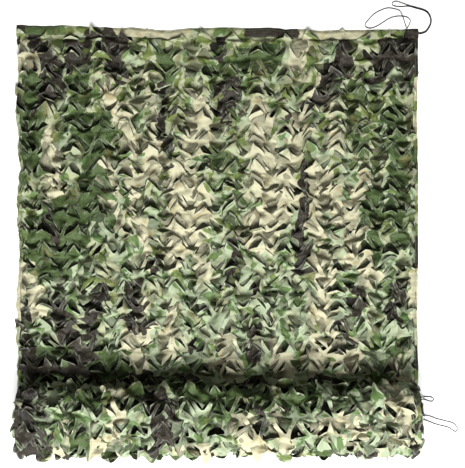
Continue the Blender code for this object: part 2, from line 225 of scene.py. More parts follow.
LONG_ROLL_LOOP = (
    (0.740, -0.664, 0.032),
    (0.750, -0.664, 0.031),
    (0.761, -0.662, 0.019),
    (0.773, -0.660, 0.004),
    (0.793, -0.663, CORD_ON_FLOOR),
    (0.820, -0.673, CORD_ON_FLOOR),
    (0.851, -0.681, CORD_ON_FLOOR),
    (0.879, -0.689, CORD_ON_FLOOR),
    (0.892, -0.701, CORD_ON_FLOOR),
    (0.896, -0.714, CORD_ON_FLOOR),
    (0.888, -0.721, CORD_ON_FLOOR),
    (0.876, -0.714, CORD_ON_FLOOR),
    (0.861, -0.705, CORD_ON_FLOOR),
    (0.815, -0.693, CORD_ON_FLOOR),
    (0.793, -0.684, CORD_ON_FLOOR),
    (0.773, -0.677, 0.004),
    (0.761, -0.674, 0.019),
    (0.750, -0.673, 0.031),
    (0.740, -0.673, 0.032),
)
CORD_STEP = 0.004
CORD_SIDES = 12


def smooth_route(route, step, lowest):
    """Evenly spaced points on the Catmull-Rom curve through a route's points."""
    p = np.array(route, dtype=float)
    p = np.vstack([2 * p[0] - p[1], p, 2 * p[-1] - p[-2]])
    t = np.linspace(0.0, 1.0, 24, endpoint=False)[:, None]
    a, b, c, d = (p[k:len(p) - 3 + k, None, :] for k in range(4))
    fine = 0.5 * (2 * b + (c - a) * t + (2 * a - 5 * b + 4 * c - d) * t ** 2
                  + (3 * b - a - 3 * c + d) * t ** 3)
    fine = np.vstack([fine.reshape(-1, 3), p[-2:-1]])
    fine[:, 2] = np.maximum(fine[:, 2], lowest)
    run = np.concatenate([[0.0], np.cumsum(np.linalg.norm(np.diff(fine, axis=0), axis=1))])
    spots = np.linspace(0.0, run[-1], round(run[-1] / step) + 1)
    return np.column_stack([np.interp(spots, run, fine[:, axis]) for axis in range(3)])


def doubled_route():
    """Out along one side of the doubled stretch, round the eye and back along the other side."""
    middle = np.array(DOUBLED_STRETCH)
    along = np.gradient(middle, axis=0)
    normal = unit(np.column_stack([-along[:, 1], along[:, 0], np.zeros(len(middle))]))
    first = middle - normal * CORD_PAIR / 2
    second = middle + normal * CORD_PAIR / 2
    return np.vstack([first, np.array(DOUBLED_EYE), second[::-1]])


def tube(path, radius, sides):
    """A round tube: circles of the radius square to the path, with a ring shrunk to close it."""
    ahead = unit(np.gradient(path, axis=0))
    across = unit(np.cross(ahead, (0.0, 0.0, 1.0)) + 1e-9)
    upward = np.cross(across, ahead)
    turn = np.linspace(0, 2 * math.pi, sides, endpoint=False)
    ring = np.cos(turn)[:, None] * across[:, None] + np.sin(turn)[:, None] * upward[:, None]
    body = path[:, None] + radius * ring
    start = path[:1, None] + radius * 0.5 * ring[:1]
    end = path[-1:, None] + radius * 0.5 * ring[-1:]
    points = np.concatenate([start, body, end])
    ids = np.arange(points.shape[0] * sides).reshape(-1, sides)
    walls = grid_quads(np.concatenate([ids, ids[:, :1]], axis=1)).reshape(-1, 4)
    return points, np.concatenate([walls, cap_quads(ids[0])[:, ::-1], cap_quads(ids[-1])])


def make_tie_loop(name, route):
    """A cord: a round tube along the smooth curve through its route."""
    path = smooth_route(route, CORD_STEP, CORD_ON_FLOOR)
    points, quads = tube(path, CORD / 2, CORD_SIDES)
    length = float(np.linalg.norm(np.diff(path, axis=0), axis=1).sum())
    run = np.linspace(0, length, len(points))[:, None] + np.zeros(CORD_SIDES)
    round_it = np.zeros(len(points))[:, None] + np.arange(CORD_SIDES) / CORD_SIDES
    piece = add_piece(name + "_cord", points, quads, np.stack([run, round_it], axis=-1))
    fit(piece, "tie_cord", name)
    return piece


TIE_LOOPS = [
    make_tie_loop("tie_loop_open", OPEN_LOOP),
    make_tie_loop("tie_loop_doubled", doubled_route()),
    make_tie_loop("tie_loop_roll_short", SHORT_ROLL_LOOP),
    make_tie_loop("tie_loop_roll_long", LONG_ROLL_LOOP),
]


# ---- the cut of the cloth --------------------------------------------------------------------
COLUMNS = 15                 # leaf repeats across
COLUMN_PITCH = NET_WIDTH / COLUMNS
ROW_PITCH = 0.073
LEAF_LENGTH = 0.048          # hinge to tip, as cut
LEAF_HALF = 0.0315           # half the width at the hinge, as cut
TIP_HALF = 0.004
LEAF_BELLY = 1.5             # power of the leaf's outline: 1 is straight-sided
UP_HINGE = 0.060             # hinge of the leaves that point back up, below a row's own hinge
LEAF_ROWS = 8                # quads along a leaf
LEAF_COLS = 6                # quads across a leaf
CELL_COLS = 16
FIRST_COLUMN = -CELL_COLS // 2
LAST_COLUMN = COLUMNS * CELL_COLS - CELL_COLS // 2
ROW_STEPS = ((0.000, 2), (0.012, 6), (0.048, 2), (0.060, 2))   # start of a stretch, its quads
CELL_ROWS = sum(count for _, count in ROW_STEPS)
UP_TIP_ROW = 2
MARGIN_ROWS = 13             # rows of uncut cloth above the first leaves


def row_down(rows):
    """Distance of numbered rows below the first hinge line."""
    starts = [start for start, _ in ROW_STEPS] + [ROW_PITCH]
    cell = np.concatenate([
        np.linspace(starts[k], starts[k + 1], count, endpoint=False)
        for k, (_, count) in enumerate(ROW_STEPS)
    ])
    return (rows // CELL_ROWS) * ROW_PITCH + cell[rows % CELL_ROWS]


def half_width(fall):
    """Half the width between a leaf's slits, by distance from its hinge towards its tip.

    It narrows along the leaf, then widens evenly through the uncut cloth to the next hinge.
    """
    fall = fall % ROW_PITCH
    share = np.minimum(fall / LEAF_LENGTH, 1.0)
    leaf = TIP_HALF + (LEAF_HALF - TIP_HALF) * (1 - share ** LEAF_BELLY)
    between = (fall - LEAF_LENGTH) / (ROW_PITCH - LEAF_LENGTH)
    cloth = TIP_HALF + (LEAF_HALF - TIP_HALF) * between ** 2
    return np.where(fall <= LEAF_LENGTH + 1e-9, leaf, cloth)


def cut_grid(rows):
    """Flat points (x, down) of the cloth; its columns follow the slits of both sets of leaves."""
    down = row_down(rows)
    fall_down = half_width(down + 1e-9)[:, None]
    fall_up = half_width(UP_HINGE - down + 1e-9)[:, None]
    column = np.arange(FIRST_COLUMN, LAST_COLUMN + 1)[None, :]
    local = column % CELL_COLS
    mirrored = local > CELL_COLS // 2
    local = np.where(mirrored, CELL_COLS - local, local)
    half = COLUMN_PITCH / 2
    side = half - fall_up
    x = np.where(local <= 3, fall_down * local / 3,
                 np.where(local <= 5, fall_down + (side - fall_down) * (local - 3) / 2,
                          side + fall_up * (local - 5) / 3))
    x = np.where(mirrored, COLUMN_PITCH - x, x)
    first = (COLUMN_PITCH - NET_WIDTH) / 2
    return first + (column // CELL_COLS) * COLUMN_PITCH + x, down[:, None] + 0 * x


def leaf_blocks(first_row, last_row, first_column, last_column):
    """Top row and left column of the leaves inside a range, their columns and way they point.

    The leaves cut through by the two side edges keep only their inner half.
    """
    cells = np.arange(first_row // CELL_ROWS - 2, last_row // CELL_ROWS + 2)
    half = LEAF_COLS // 2
    down_columns = np.arange(COLUMNS) * CELL_COLS - half
    up_columns = np.arange(COLUMNS - 1) * CELL_COLS + CELL_COLS // 2 - half
    kinds = (
        (0, down_columns, LEAF_COLS, 1, 0),
        (UP_TIP_ROW, up_columns, LEAF_COLS, -1, 0),
        (UP_TIP_ROW, np.array([FIRST_COLUMN]), half, -1, -1),
        (UP_TIP_ROW, np.array([LAST_COLUMN - half]), half, -1, 1),
    )
    found = []
    for top, columns, wide, sign, edge in kinds:
        r, c = np.meshgrid(cells * CELL_ROWS + top, columns, indexing="ij")
        r, c = r.ravel(), c.ravel()
        inside = (r >= first_row + 3) & (r >= UP_TIP_ROW - CELL_ROWS) & (r + LEAF_ROWS <= last_row)
        inside &= (c >= first_column) & (c + wide <= last_column)
        found.append((r[inside], c[inside], wide, sign, edge))
    return found


LEAF_STRETCH = (0.90, 1.18)      # crimp takes up the cloth round a leaf but not the leaf
LEAF_RISE = 0.033                # no leaf stands higher over its hinge than this
PRINT_SHIFT = 0.029              # how far the print on a leaf's tip lies from its hole


def unrest(x, down):
    """How ruffled the leaves are: calmer in the middle and right of the flat cloth."""
    calm = np.exp(-((x - 0.15) / 0.38) ** 2 - ((down - 0.42) / 0.34) ** 2)
    return np.clip(1.15 - 0.92 * calm + 0.35 * noise(x, down, 0.16, 0.14, 12), 0.2, 1.25)


def leaf_shapes(hinge, edge, top_row, stir, draw, bend):
    """Leaf surfaces that bend away from their hinges.

    hinge is (leaves, columns, 3).  Along the leaf its slope is lift + curl * s + twist * t, with
    s from hinge to tip and t from side to side; the slope's cosine and sine are summed for the
    distance along and the height, and the leaf is folded by a height of fold * |t - crease|.
    bend is the mean lift, its spread and the greatest slope; stir scales the spread leaf by leaf.
    Leaves of the top row range from shorter to somewhat longer and lie lower, over the binding.
    """
    n, wide = hinge.shape[:2]
    lift, spread, steepest = bend

    def among(low, high):
        return draw.uniform(low, high, n)[:, None, None]

    s = np.linspace(0, 1, LEAF_ROWS + 1)[None, :, None]
    t = np.linspace(-1, 1, wide)[None, None, :]
    stir = stir[:, None, None]
    slope = lift + stir * draw.normal(0.0, spread, n)[:, None, None]
    curl = 0.1 + np.clip(stir * draw.normal(0.0, 0.42, n)[:, None, None], -0.7, 0.7)
    twist = stir * draw.normal(0.0, 0.50, n)[:, None, None]
    angle = np.clip(slope + curl * s + twist * t, -0.85 * steepest, steepest)
    top_row = top_row[:, None, None]
    length = LEAF_LENGTH * among(*LEAF_STRETCH) * np.where(top_row, among(0.70, 1.15), 1.0)
    step = length / LEAF_ROWS
    middle = (angle[:, 1:] + angle[:, :-1]) / 2
    start = np.zeros((n, 1, wide))
    along = np.concatenate([start, np.cumsum(np.cos(middle) * step, axis=1)], axis=1)
    height = np.concatenate([start, np.cumsum(np.sin(middle) * step, axis=1)], axis=1)
    side_width = np.where(t < 0, among(0.55, 1.15), among(0.55, 1.15))
    tip = among(0.0010, 0.0050)
    half = (tip + (LEAF_HALF - tip) * (1 - s ** LEAF_BELLY)) * side_width
    half = half * (1 + 0.22 * np.sin(math.pi * s) * among(-0.6, 1.0))
    lean = among(-0.55, 0.55) if edge == 0 else edge * -among(-0.45, 0.45)
    crease = among(-0.5, 0.5)
    folded = np.abs(t - crease) - np.abs(crease)
    height = height + among(-1.05, 1.05) * folded * half * np.minimum(2.5 * s, 1)
    ripple = np.sin(among(60, 130) * (along + 0.6 * t * half) + among(0, 6.28)) * among(0.0, 0.0014)
    height = (height + ripple * np.minimum(2 * s, 1)) * np.where(top_row, 0.35, 1.0)
    height = LEAF_RISE * np.tanh(height / LEAF_RISE)
    centre = hinge.mean(axis=1)[:, None, None]
    e1 = unit(hinge[:, -1] - hinge[:, 0])[:, None, None]
    e2 = np.stack([-e1[..., 1], e1[..., 0], 0 * e1[..., 0]], axis=-1)
    e3 = np.array([0.0, 0.0, 1.0])
    across = t * half + lean * along
    points = centre + e1 * across[..., None] + e2 * along[..., None] + e3 * height[..., None]
    miss = hinge[:, None] - points[:, :1]
    return points + miss * ((1 - s) ** 2)[..., None]


def leaf_cloth(first_row, last_row, first_column, last_column, web, seed, bend):
    """Points, quads, places in cloth and in print, and rims of a stretch of leaf-cut cloth.

    web(x, down) gives the points of the cloth between the leaves.  Each leaf shares its hinge
    with that cloth and has edges of its own elsewhere.
    """
    rows = np.arange(first_row, last_row + 1)
    flat_x, flat_down = cut_grid(rows)
    offset = CELL_COLS // 2
    span = slice(first_column + offset, last_column + offset + 1)
    flat_x, flat_down = flat_x[:, span], flat_down[:, span]
    points = web(flat_x, flat_down)
    ids = np.arange(points.shape[0] * points.shape[1]).reshape(points.shape[:2])
    whole = np.ones((ids.shape[0] - 1, ids.shape[1] - 1), dtype=bool)
    draw = np.random.default_rng(seed)
    all_points = [points.reshape(-1, 3)]
    all_flat = [np.stack([flat_x, flat_down], axis=-1).reshape(-1, 2)]
    printed = [all_flat[0]]
    rims = [np.zeros(ids.size)]
    quads = []
    count = ids.size
    down_rows = np.arange(LEAF_ROWS + 1)
    for top, left, wide, sign, edge in leaf_blocks(first_row, last_row, first_column, last_column):
        r = (top - first_row)[:, None, None] + down_rows[None, :, None]
        c = (left - first_column)[:, None, None] + np.arange(wide + 1)[None, None, :]
        whole[r[:, :-1], c[:, :, :-1]] = False
        if sign < 0:
            r = r[:, ::-1]
            c = c[:, :, ::-1]
        block = ids[r, c]
        stir = unrest(flat_x[r[:, 0, 0], c[:, 0, 0]], flat_down[r[:, 0, 0], c[:, 0, 0]])
        shapes = leaf_shapes(points[r[:, 0], c[:, 0]], edge, top < 0, stir, draw, bend)
        # rims place a painted highlight, with some fraying, along the cut edges
        rims[0][block[:, 1:, [0, -1]]] = 0.5
        rims[0][block[:, -1]] = 0.5
        fresh = count + np.arange(block.size).reshape(block.shape)
        count += block.size
        block_ids = np.concatenate([block[:, :1], fresh[:, 1:]], axis=1)
        quads.append(grid_quads(block_ids).reshape(-1, 4))
        all_points.append(shapes.reshape(-1, 3))
        s = np.linspace(0, 1, LEAF_ROWS + 1)[:, None]
        t = np.abs(np.linspace(-1, 1, wide + 1))[None, :]
        shift = draw.normal(0, PRINT_SHIFT, (len(block), 1, 1, 2)) * s[..., None]
        place = np.stack([flat_x[r, c], flat_down[r, c]], axis=-1)
        all_flat.append(place.reshape(-1, 2))
        printed.append((place + shift).reshape(-1, 2))
        rim = np.maximum(s, t * np.minimum(3 * s, 1)) ** 7
        rims.append(np.tile(rim.ravel(), len(block)))
    quads.append(grid_quads(ids)[whole])
    return (np.concatenate(all_points), np.concatenate(quads)[:, ::-1], np.concatenate(all_flat),
            np.concatenate(printed), np.concatenate(rims))


# ---- the colours of the print ----------------------------------------------------------------
# A stroke of colour is a run of places (x, y, width) in centimetres from the middle of the net.
TAN_STROKES = (
    ((-43, 59, 5), (-37, 50, 6.5), (-33, 38, 4.5), (-31, 14, 2.5), (-32, 4, 3.5)),
    ((-27, 61, 3), (-23, 47, 4), (-25, 27, 9)),
    ((-7, 53, 7.5), (-5, 41, 11), (-12, 33, 7.5)),
    ((-14, 25, 9), (-10, 9, 19), (-16, -6, 9)),
    ((17, 49, 8.5), (18, 27, 12), (21, 13, 14), (16, -3, 11)),
    ((40, 63, 3.5), (32, 45, 7.5), (27, 27, 9), (24, 9, 7.5)),
    ((38, 23, 8.5), (48, 9, 7.5), (53, -4, 10), (56, -15, 8)),
    ((37, 22, 7.5), (38, 3, 5), (41, -16, 5.5), (39, -30, 5)),
    ((44, 52, 4), (45, 34, 4)),
    ((57, 27, 3.5), (52, 16, 5.5)),
    ((-64, 40, 3), (-63, 29, 4.5), (-62, 17, 5.5)),
    ((-73, -14, 7), (-70, -20, 10), (-66, -29, 6)),
    ((-27, -23, 3.5), (-31, -32, 8), (-31, -43, 7.5), (-27, -48, 5)),
    ((2, -37, 5.5), (5, -48, 7.5)),
    ((23, -40, 5.5), (26, -50, 7.5)),
    ((41, -24, 4), (42, -34, 5)),
    ((35, -47, 6), (38, -40, 6.5), (49, -43, 11), (42, -32, 5.5)),
    ((-41, 26, 3), (-37, 9, 3.5)),
    ((-18, -25, 3.5), (-17, -42, 6.5)),
    ((32, 78, 6), (30, 67, 6.5)),
    ((49, 77, 3.5), (47, 63, 2.5)),
    ((-72, 75, 6), (-70, 65, 7)),
    ((-27, 3, 4), (-28, -9, 4.5)),
    ((-6, -4, 6), (-4, -13, 6)),
    ((68, -47, 5), (70, -54, 6)),
)
DARK_STROKES = (
    ((-70, 76, 6), (-64, 66, 8.5), (-63, 56, 7), (-66, 47, 3.5)),
    ((-57, 73, 4), (-53, 70, 7), (-54, 65, 5)),
    ((-49, 77, 5), (-45, 76, 4)),
    ((-38, 78, 10), (-39, 68, 9), (-37, 60, 5)),
    ((1, 77, 5.5), (2, 69, 4.5)),
    ((5, 58, 7.5), (4, 45, 4.5)),
    ((47, 76, 6), (46, 64, 8.5), (41, 56, 7.5), (36, 48, 6.5)),
    ((60, 62, 11), (66, 69, 16), (73, 68, 14)),
    ((73, 72, 5.5), (73, 58, 4)),
    ((-19, 59, 2.6), (-20, 42, 2.8), (-18, 28, 3.2)),
    ((33, 26, 4.5), (32, 9, 4.4), (32, -4, 4.4), (30, -16, 3.4)),
    ((7, -3, 3.5), (5, -16, 5.5)),
    ((-26, -9, 3.5), (-21, -9, 2.5)),
    ((-32, -18, 7.5), (-31, -32, 6)),
    ((-44, -18, 5), (-48, -30, 7.5), (-50, -40, 6)),
    ((-61, -25, 8), (-57, -35, 10), (-52, -44, 9)),
    ((51, -18, 6.5), (54, -25, 5.5), (49, -32, 5), (44, -39, 3)),
    ((69, -18, 4), (67, -31, 4.5)),
    ((14, -28, 3.5), (14, -42, 4.5)),
    ((-9, -36, 2.6), (-9, -50, 3.5)),
    ((-64, 11, 2.5), (-62, 1, 3.5)),
    ((16, -16, 2.5), (17, -23, 2.5)),
    # Painted shadow, not ink: the stroke below down the left to y -52 darkens the left end of the shade
    # before the roll, and the three strokes along y -53 darken the crease where the flat cloth meets the
    # roll.
    ((-73, -30, 3.5), (-71, -47, 8), (-58, -50, 7), (-46, -52, 5)),
    ((-34, -53, 2.5), (-24, -53, 4), (-8, -53, 3)),
    ((8, -53, 2.5), (22, -52, 2)),
    ((36, -53, 3), (52, -53, 2.5)),
)
DEEP_STROKES = (
    ((-70, 55, 13), (-72, 27, 11)),
    ((-57, 11, 20), (-64, -8, 20)),
    ((-44, 41, 11), (-46, 11, 13)),
    ((67, 50, 6.5), (69, 26, 7.5), (69, -2, 5)),
    ((58, 14, 10), (60, -8, 6)),
    ((21, 69, 8), (-1, 63, 6)),
    ((-52, 58, 8), (-51, 36, 9)),
    ((-33, 22, 6), (-31, 12, 7)),
    ((-3, 30, 4), (6, 28, 6), (14, 27, 5)),
    ((53, 58, 5), (53, 46, 5), (53, 34, 6)),
    ((8, 18, 4), (5, 5, 5)),
    ((-70, -45, 15), (-36, -47, 11)),
    ((-20, 69, 6), (-18, 59, 4)),
    ((70, -40, 4), (63, -49, 7)),
)
# On the roll the middle number is measured round it from its crown, more towards the flat cloth.
TAN_ROLL_STROKES = (
    ((-38, 12, 5), (-36, 3, 5), (-35, -8, 3.5)),
    ((-56, -2, 4), (-58, -12, 4)),
    ((-46, -4, 3), (-41, -12, 4.5)),
    ((-14, -10, 6), (-5, -11, 8), (-2, -21, 6)),
    ((12, -3, 9), (18, -12, 11), (14, -18, 8)),
    ((23, 8, 3), (24, 2, 4), (25, -10, 4)),
    ((38, -3, 5), (48, 1, 6)),
    ((66, 16, 9), (69, 3, 9), (69, -8, 7)),
    ((53, -2, 5), (52, -9, 5)),
    ((60, -12, 5), (56, -18, 8)),
)
DARK_ROLL_STROKES = (
    ((-72, 15, 12), (-71, 3, 15), (-70, -9, 15), (-70, -20, 12)),
    ((-25, 14, 5), (-21, 6, 9), (-19, -4, 12), (-24, -14, 5)),
    ((49, -16, 5), (57, -13, 4)),
    ((17, 4, 4), (20, -3, 3)),
    ((-51, -14, 4), (-55, -20, 6)),
    ((31, -21, 5), (33, -27, 4)),
    ((74.6, -6, 1.8), (74.6, -22, 2.2)),
)
DEEP_ROLL_STROKES = (
    ((-10, 12, 10), (15, 10, 12), (35, 12, 10)),
    ((-50, 10, 8), (-32, 8, 6)),
    ((2, 4, 5), (30, 6, 6)),
    ((74, 12, 3), (75, 2, 2)),
    ((-62, -10, 6), (-52, -16, 6), (-40, -20, 5)),
    ((-56, -2, 7), (-48, -6, 9), (-42, -7, 8)),
    ((43, -14, 6), (44, -22, 6)),
    ((36, -14, 4), (50, -22, 5)),
)
# The bindings were cut from other parts of the print.
TAN_TAPE_STROKES = (
    ((-36, 76, 9), (-16, 76, 9)),
    ((30, 76, 9), (50, 76, 9)),
    ((74, 59, 6), (74, 54, 6)),
    ((74, 45, 6), (74, 39, 6)),
    ((74, -12, 6), (74, -28, 6)),
    ((-74, 72, 6), (-74, 66, 6)),
    ((-74, -12, 6), (-74, -28, 6)),
)
DARK_TAPE_STROKES = (
    ((-48, 76, 5), (-46, 76, 5)),
    ((-41, 76, 4), (-39, 76, 4)),
    ((-60, 76, 2), (-60, 75, 2)),
    ((15, 76, 9), (26, 76, 9)),
    ((74, 75, 9), (74, 64, 6)),
    ((74, -2, 5), (74, -8, 5)),
    ((74, -43, 4), (74, -48, 4)),
    ((-74, 79, 5), (-74, 75, 5)),
    ((-74, 55, 6), (-74, 49, 6)),
)
DEEP_TAPE_STROKES = (((74, 36, 6), (74, 25, 6)), ((-70, 76, 9), (-62, 76, 9)))
FLAT_PRINT = (TAN_STROKES, DARK_STROKES, DEEP_STROKES)
ROLL_PRINT = (TAN_ROLL_STROKES, DARK_ROLL_STROKES, DEEP_ROLL_STROKES)
TAPE_PRINT = (TAN_TAPE_STROKES, DARK_TAPE_STROKES, DEEP_TAPE_STROKES)


def stroke_distance(x, y, strokes):
    """Signed distance in metres to the nearest stroke: that to its line less half its width."""
    nearest = np.full(np.shape(x), 9.0)
    for stroke in strokes:
        for (ax, ay, aw), (bx, by, bw) in zip(stroke[:-1], stroke[1:]):
            along = ((x * 100 - ax) * (bx - ax) + (y * 100 - ay) * (by - ay))
            t = np.clip(along / ((bx - ax) ** 2 + (by - ay) ** 2), 0, 1)
            gap = np.hypot(x * 100 - ax - t * (bx - ax), y * 100 - ay - t * (by - ay))
            nearest = np.minimum(nearest, (gap - (aw + t * (bw - aw)) / 2) / 100)
    return nearest


def print_fields(x, y, sets, seed, rough=1.0, rim=0.0):
    """Distances to the tan, dark and deep green strokes, their outlines pushed about by noise.

    rim says how near each point is to a cut edge, from 0 inside the cloth to 1 at the edge; it places a
    painted highlight with some fraying along the cut edges.
    """
    push_x = 0.014 * noise(x, y, 0.040, 0.055, seed) + 0.012 * noise(x, y, 0.017, 0.02, seed + 1)
    push_y = 0.022 * noise(x, y, 0.045, 0.050, seed + 2) + 0.014 * noise(x, y, 0.02, 0.02, seed + 3)
    grain = 0.021 * rough * noise(x, y, 0.024, 0.028, seed + 4)
    names = ("tan_distance", "dark_distance", "deep_distance")
    fields = {name: stroke_distance(x + rough * push_x, y + rough * push_y, strokes) + grain
              for name, strokes in zip(names, sets)}
    fields["rim"] = rim + np.zeros(np.shape(x))
    return fields


# ---- laying the cloth out --------------------------------------------------------------------
def hem_y(x):
    """The top edge: its slow sag and the small kinks the gathering puts in it."""
    stations = np.linspace(-HALF_WIDTH, HALF_WIDTH, len(HEM_DROPS))
    kink = 0.0030 * noise(x, 0 * x, 0.07, 1.0, 33) + 0.0020 * noise(x, 0 * x, 0.024, 1.0, 34)
    return TOP_Y - np.interp(x, stations, HEM_DROPS) + kink - 0.001


def side_x(y, side):
    """Distance of a side edge from the middle: the net's slow wave and small kinks of its own."""
    kink = (0.0045 - 0.0025 * side) * noise(y, 0 * y + side, 0.045, 1.0, 31)
    kink = kink + (0.0030 - 0.0022 * side) * noise(y, 0 * y + side, 0.019, 1.0, 32)
    drawn_in = 0.012 * np.exp(-((y - 0.27) / 0.05) ** 2) + 0.010 * np.exp(-((y - 0.61) / 0.013) ** 2)
    drawn_in = (drawn_in + 0.008 * np.exp(-((y - 0.21) / 0.012) ** 2)) * (side < 0)
    return HALF_WIDTH - SIDE_WAVE * 0.5 * (1 - np.cos(9.0 * (TOP_Y - y))) + kink - drawn_in


def eased(value, low, high):
    """0 up to low and 1 from high on, by a smooth step between them."""
    t = np.clip((value - low) / (high - low), 0, 1)
    return t * t * (3 - 2 * t)


WEB_MIDDLE = 0.0115          # mean height of the cloth between the leaves, over the floor
WEB_WAVE = 0.0054
WEB_CREASE = 0.0088
WEB_RIPPLE = 0.0034
WEB_DRIFT = 0.0085           # how far the cut wanders sideways
HEM_LEVEL = 0.0026           # middle of the cloth inside a binding
FLAT_LAST_ROW = 18 * CELL_ROWS + 4
FLAT_END = row_down(np.array([FLAT_LAST_ROW]))[0]    # where the flat stretch gives way to the roll
WEB_SEED = 40
SWELL_DOWN = 1.225           # the cloth bulges up here before it dips to the roll


def web_waves(x, down):
    """Heights of the cloth between leaves: waves about as long as a leaf, with sharp creases.

    A crease is 1 - 2 |noise|, which peaks in a ridge wherever the noise passes nought.
    """
    wave = noise(x, down, 0.045, 0.036, WEB_SEED) + 0.65 * noise(x, down, 0.024, 0.020, WEB_SEED + 1)
    crease = 1 - 2 * np.abs(noise(x + 0.3 * down, down, 0.034, 0.030, WEB_SEED + 5))
    fine = 1 - 2 * np.abs(noise(x - 0.4 * down, down, 0.018, 0.017, WEB_SEED + 2))
    ruffled = 0.25 + 0.65 * unrest(x, down)
    return ruffled * (WEB_WAVE * wave + WEB_CREASE * crease + WEB_RIPPLE * fine)


def web_drift(x, down):
    """How far the cut wanders across and along the cloth: smooth noise of two sizes."""
    along = WEB_DRIFT * noise(x, down, 0.06, 0.05, WEB_SEED + 3)
    along = along + 0.018 * noise(x, down, 0.10, 0.22, WEB_SEED + 6)
    across = WEB_DRIFT * noise(x, down, 0.055, 0.06, WEB_SEED + 4)
    return across, along


def flat_web(x, down):
    """The cloth between leaves on the flat stretch, level and true where the bindings hold it."""
    inside = HALF_WIDTH - np.abs(x)
    free = eased(inside, 0.006, 0.034) * eased(down, -0.030, 0.005)
    across, along = web_drift(x, down)
    swell = 0.5 + 0.5 * noise(x, 0 * x, 0.09, 1.0, 45)
    swell = 0.030 * swell * np.exp(-((down - SWELL_DOWN) / 0.035) ** 2)
    height = HEM_LEVEL + free * (WEB_MIDDLE - HEM_LEVEL + web_waves(x, down) + swell)
    margin = np.minimum(down / row_down(np.array([-MARGIN_ROWS]))[0], 1)
    above = margin * (hem_y(x) - 0.0090 - FIRST_ROW)
    y = np.where(down < 0, FIRST_ROW + above, FIRST_ROW - down)
    edge = np.where(x < 0, side_x(y, -1), side_x(y, 1)) - 0.0060
    squeezed = x * edge / HALF_WIDTH
    return np.stack([squeezed + across * free, FIRST_ROW - y + along * free,
                     np.maximum(height, 0.0012)], axis=-1)


def lay_flat(points):
    """(x, down, height) to the world on the flat stretch; nothing goes below the floor."""
    return np.stack([points[:, 0], FIRST_ROW - points[:, 1], np.maximum(points[:, 2], FLOOR_GAP)],
                    axis=-1)


# How leaves bend: mean slope at the hinge, its spread and the greatest slope, in radians.
FLAT_BEND = (0.50, 0.64, 1.3)
UNDER_BEND = (0.70, 0.50, 1.2)
ROLL_BEND = (0.58, 0.80, 1.3)
SECOND_BEND = (0.65, 0.55, 1.2)
INNER_BEND = (0.05, 0.20, 0.40)


def make_flat_cloth():
    """The cloth from the hem to the roll: the cut grid laid on the floor, its leaves bent up."""
    points, quads, flat, printed, rims = leaf_cloth(
        -MARGIN_ROWS, FLAT_LAST_ROW, FIRST_COLUMN, LAST_COLUMN, flat_web, 7, FLAT_BEND)
    fields = print_fields(printed[:, 0], FIRST_ROW - printed[:, 1], FLAT_PRINT, 60, rim=rims)
    piece = add_piece("leaf_cloth_flat", lay_flat(points), quads, flat, fields, printed)
    fit(piece, "leaf_cloth", "net_sheet")
    length = TOP_Y - float(np.mean(HEM_DROPS)) - (FIRST_ROW - FLAT_END)
    return piece


# ---- winding the rest ------------------------------------------------------------------------
LEAD = 60                                # path points before it winds, below the roll's middle
PATH_STEPS = 6000
TURN_DROP = 0.0125                       # how much each turn is narrower on either side
OUTER_HALF = ROLL_WIDTH / 2 - 0.011      # middle of the outermost turn
OUTER_HALF_HEIGHT = ROLL_Z - 0.0065
ROLL_PRESSED = 0.186                     # leaves higher than this lie over more and more
END_TURNS = 8.4                          # turns made at the ends alone


def roll_outline(angle):
    """The superellipse of the roll's end, 1 either way from its middle."""
    c, s = np.cos(angle), np.sin(angle)
    power = 2 / ROLL_POWER
    return np.sign(c) * np.abs(c) ** power, np.sign(s) * np.abs(s) ** power


def wind_path():
    """Run, y, z and normal of the cloth's upper face from under the roll to its core.

    A superellipse that shrinks evenly as it turns, from its foot towards the side away from the
    flat stretch, over the crown and down towards it.
    """
    turns = np.linspace(0, END_TURNS, PATH_STEPS)
    angle = -math.pi / 2 - 2 * math.pi * turns
    shrink = 1 - turns * TURN_DROP / OUTER_HALF
    wide, tall = roll_outline(angle)
    y = ROLL_Y + OUTER_HALF * shrink * wide
    z = ROLL_Z + OUTER_HALF_HEIGHT * shrink * tall
    y = np.concatenate([np.linspace(FIRST_ROW - FLAT_END, ROLL_Y, LEAD, endpoint=False), y])
    z = np.concatenate([np.full(LEAD, z[0]), z])
    run = np.concatenate([[0], np.cumsum(np.hypot(np.diff(y), np.diff(z)))])
    run += FLAT_END
    ty, tz = np.gradient(y, run), np.gradient(z, run)
    size = np.hypot(ty, tz)
    return run, y, z, tz / size, -ty / size, np.concatenate([np.zeros(LEAD), turns])


PATH_RUN, PATH_Y, PATH_Z, PATH_NY, PATH_NZ, PATH_TURNS = wind_path()


def wind(points):
    """(x, down, height) to the world round the roll.

    Heights are up where the cloth still lies on the floor, and outwards once it winds.
    """
    x, down, height = points[:, 0], points[:, 1], points[:, 2]
    turns = np.interp(down, PATH_RUN, PATH_TURNS)
    y = np.interp(down, PATH_RUN, PATH_Y)
    z = np.interp(down, PATH_RUN, PATH_Z)
    ny = np.interp(down, PATH_RUN, PATH_NY)
    nz = np.interp(down, PATH_RUN, PATH_NZ)
    size = np.hypot(ny, nz)
    size = np.where(size < 0.2, 1.0, size) / (1 - 2 * eased(turns, 0.0, 0.125) + 1e-6)
    swing = 0.004 * np.sin(7.0 * x + 1.3) * eased(z, 0.02, 0.09)
    slip = 0.004 * np.sin(5.1 * turns) * np.sign(x) * eased(np.abs(x), 0.5, 0.74)
    wy = y + height * ny / size + swing
    wz = z + height * nz / size
    wz = np.where(wz > ROLL_PRESSED, ROLL_PRESSED + 0.020 * np.tanh((wz - ROLL_PRESSED) / 0.020), wz)
    wx = x * ROLL_LENGTH / NET_WIDTH + slip + 0.008 * eased(-x, 0.3, 0.75)
    return np.stack([wx, wy, np.maximum(wz, FLOOR_GAP)], axis=-1)


def turn_down(turn):
    """Distance below the first hinge line at which a turn of the winding is reached."""
    return np.interp(turn, PATH_TURNS[LEAD:], PATH_RUN[LEAD:])


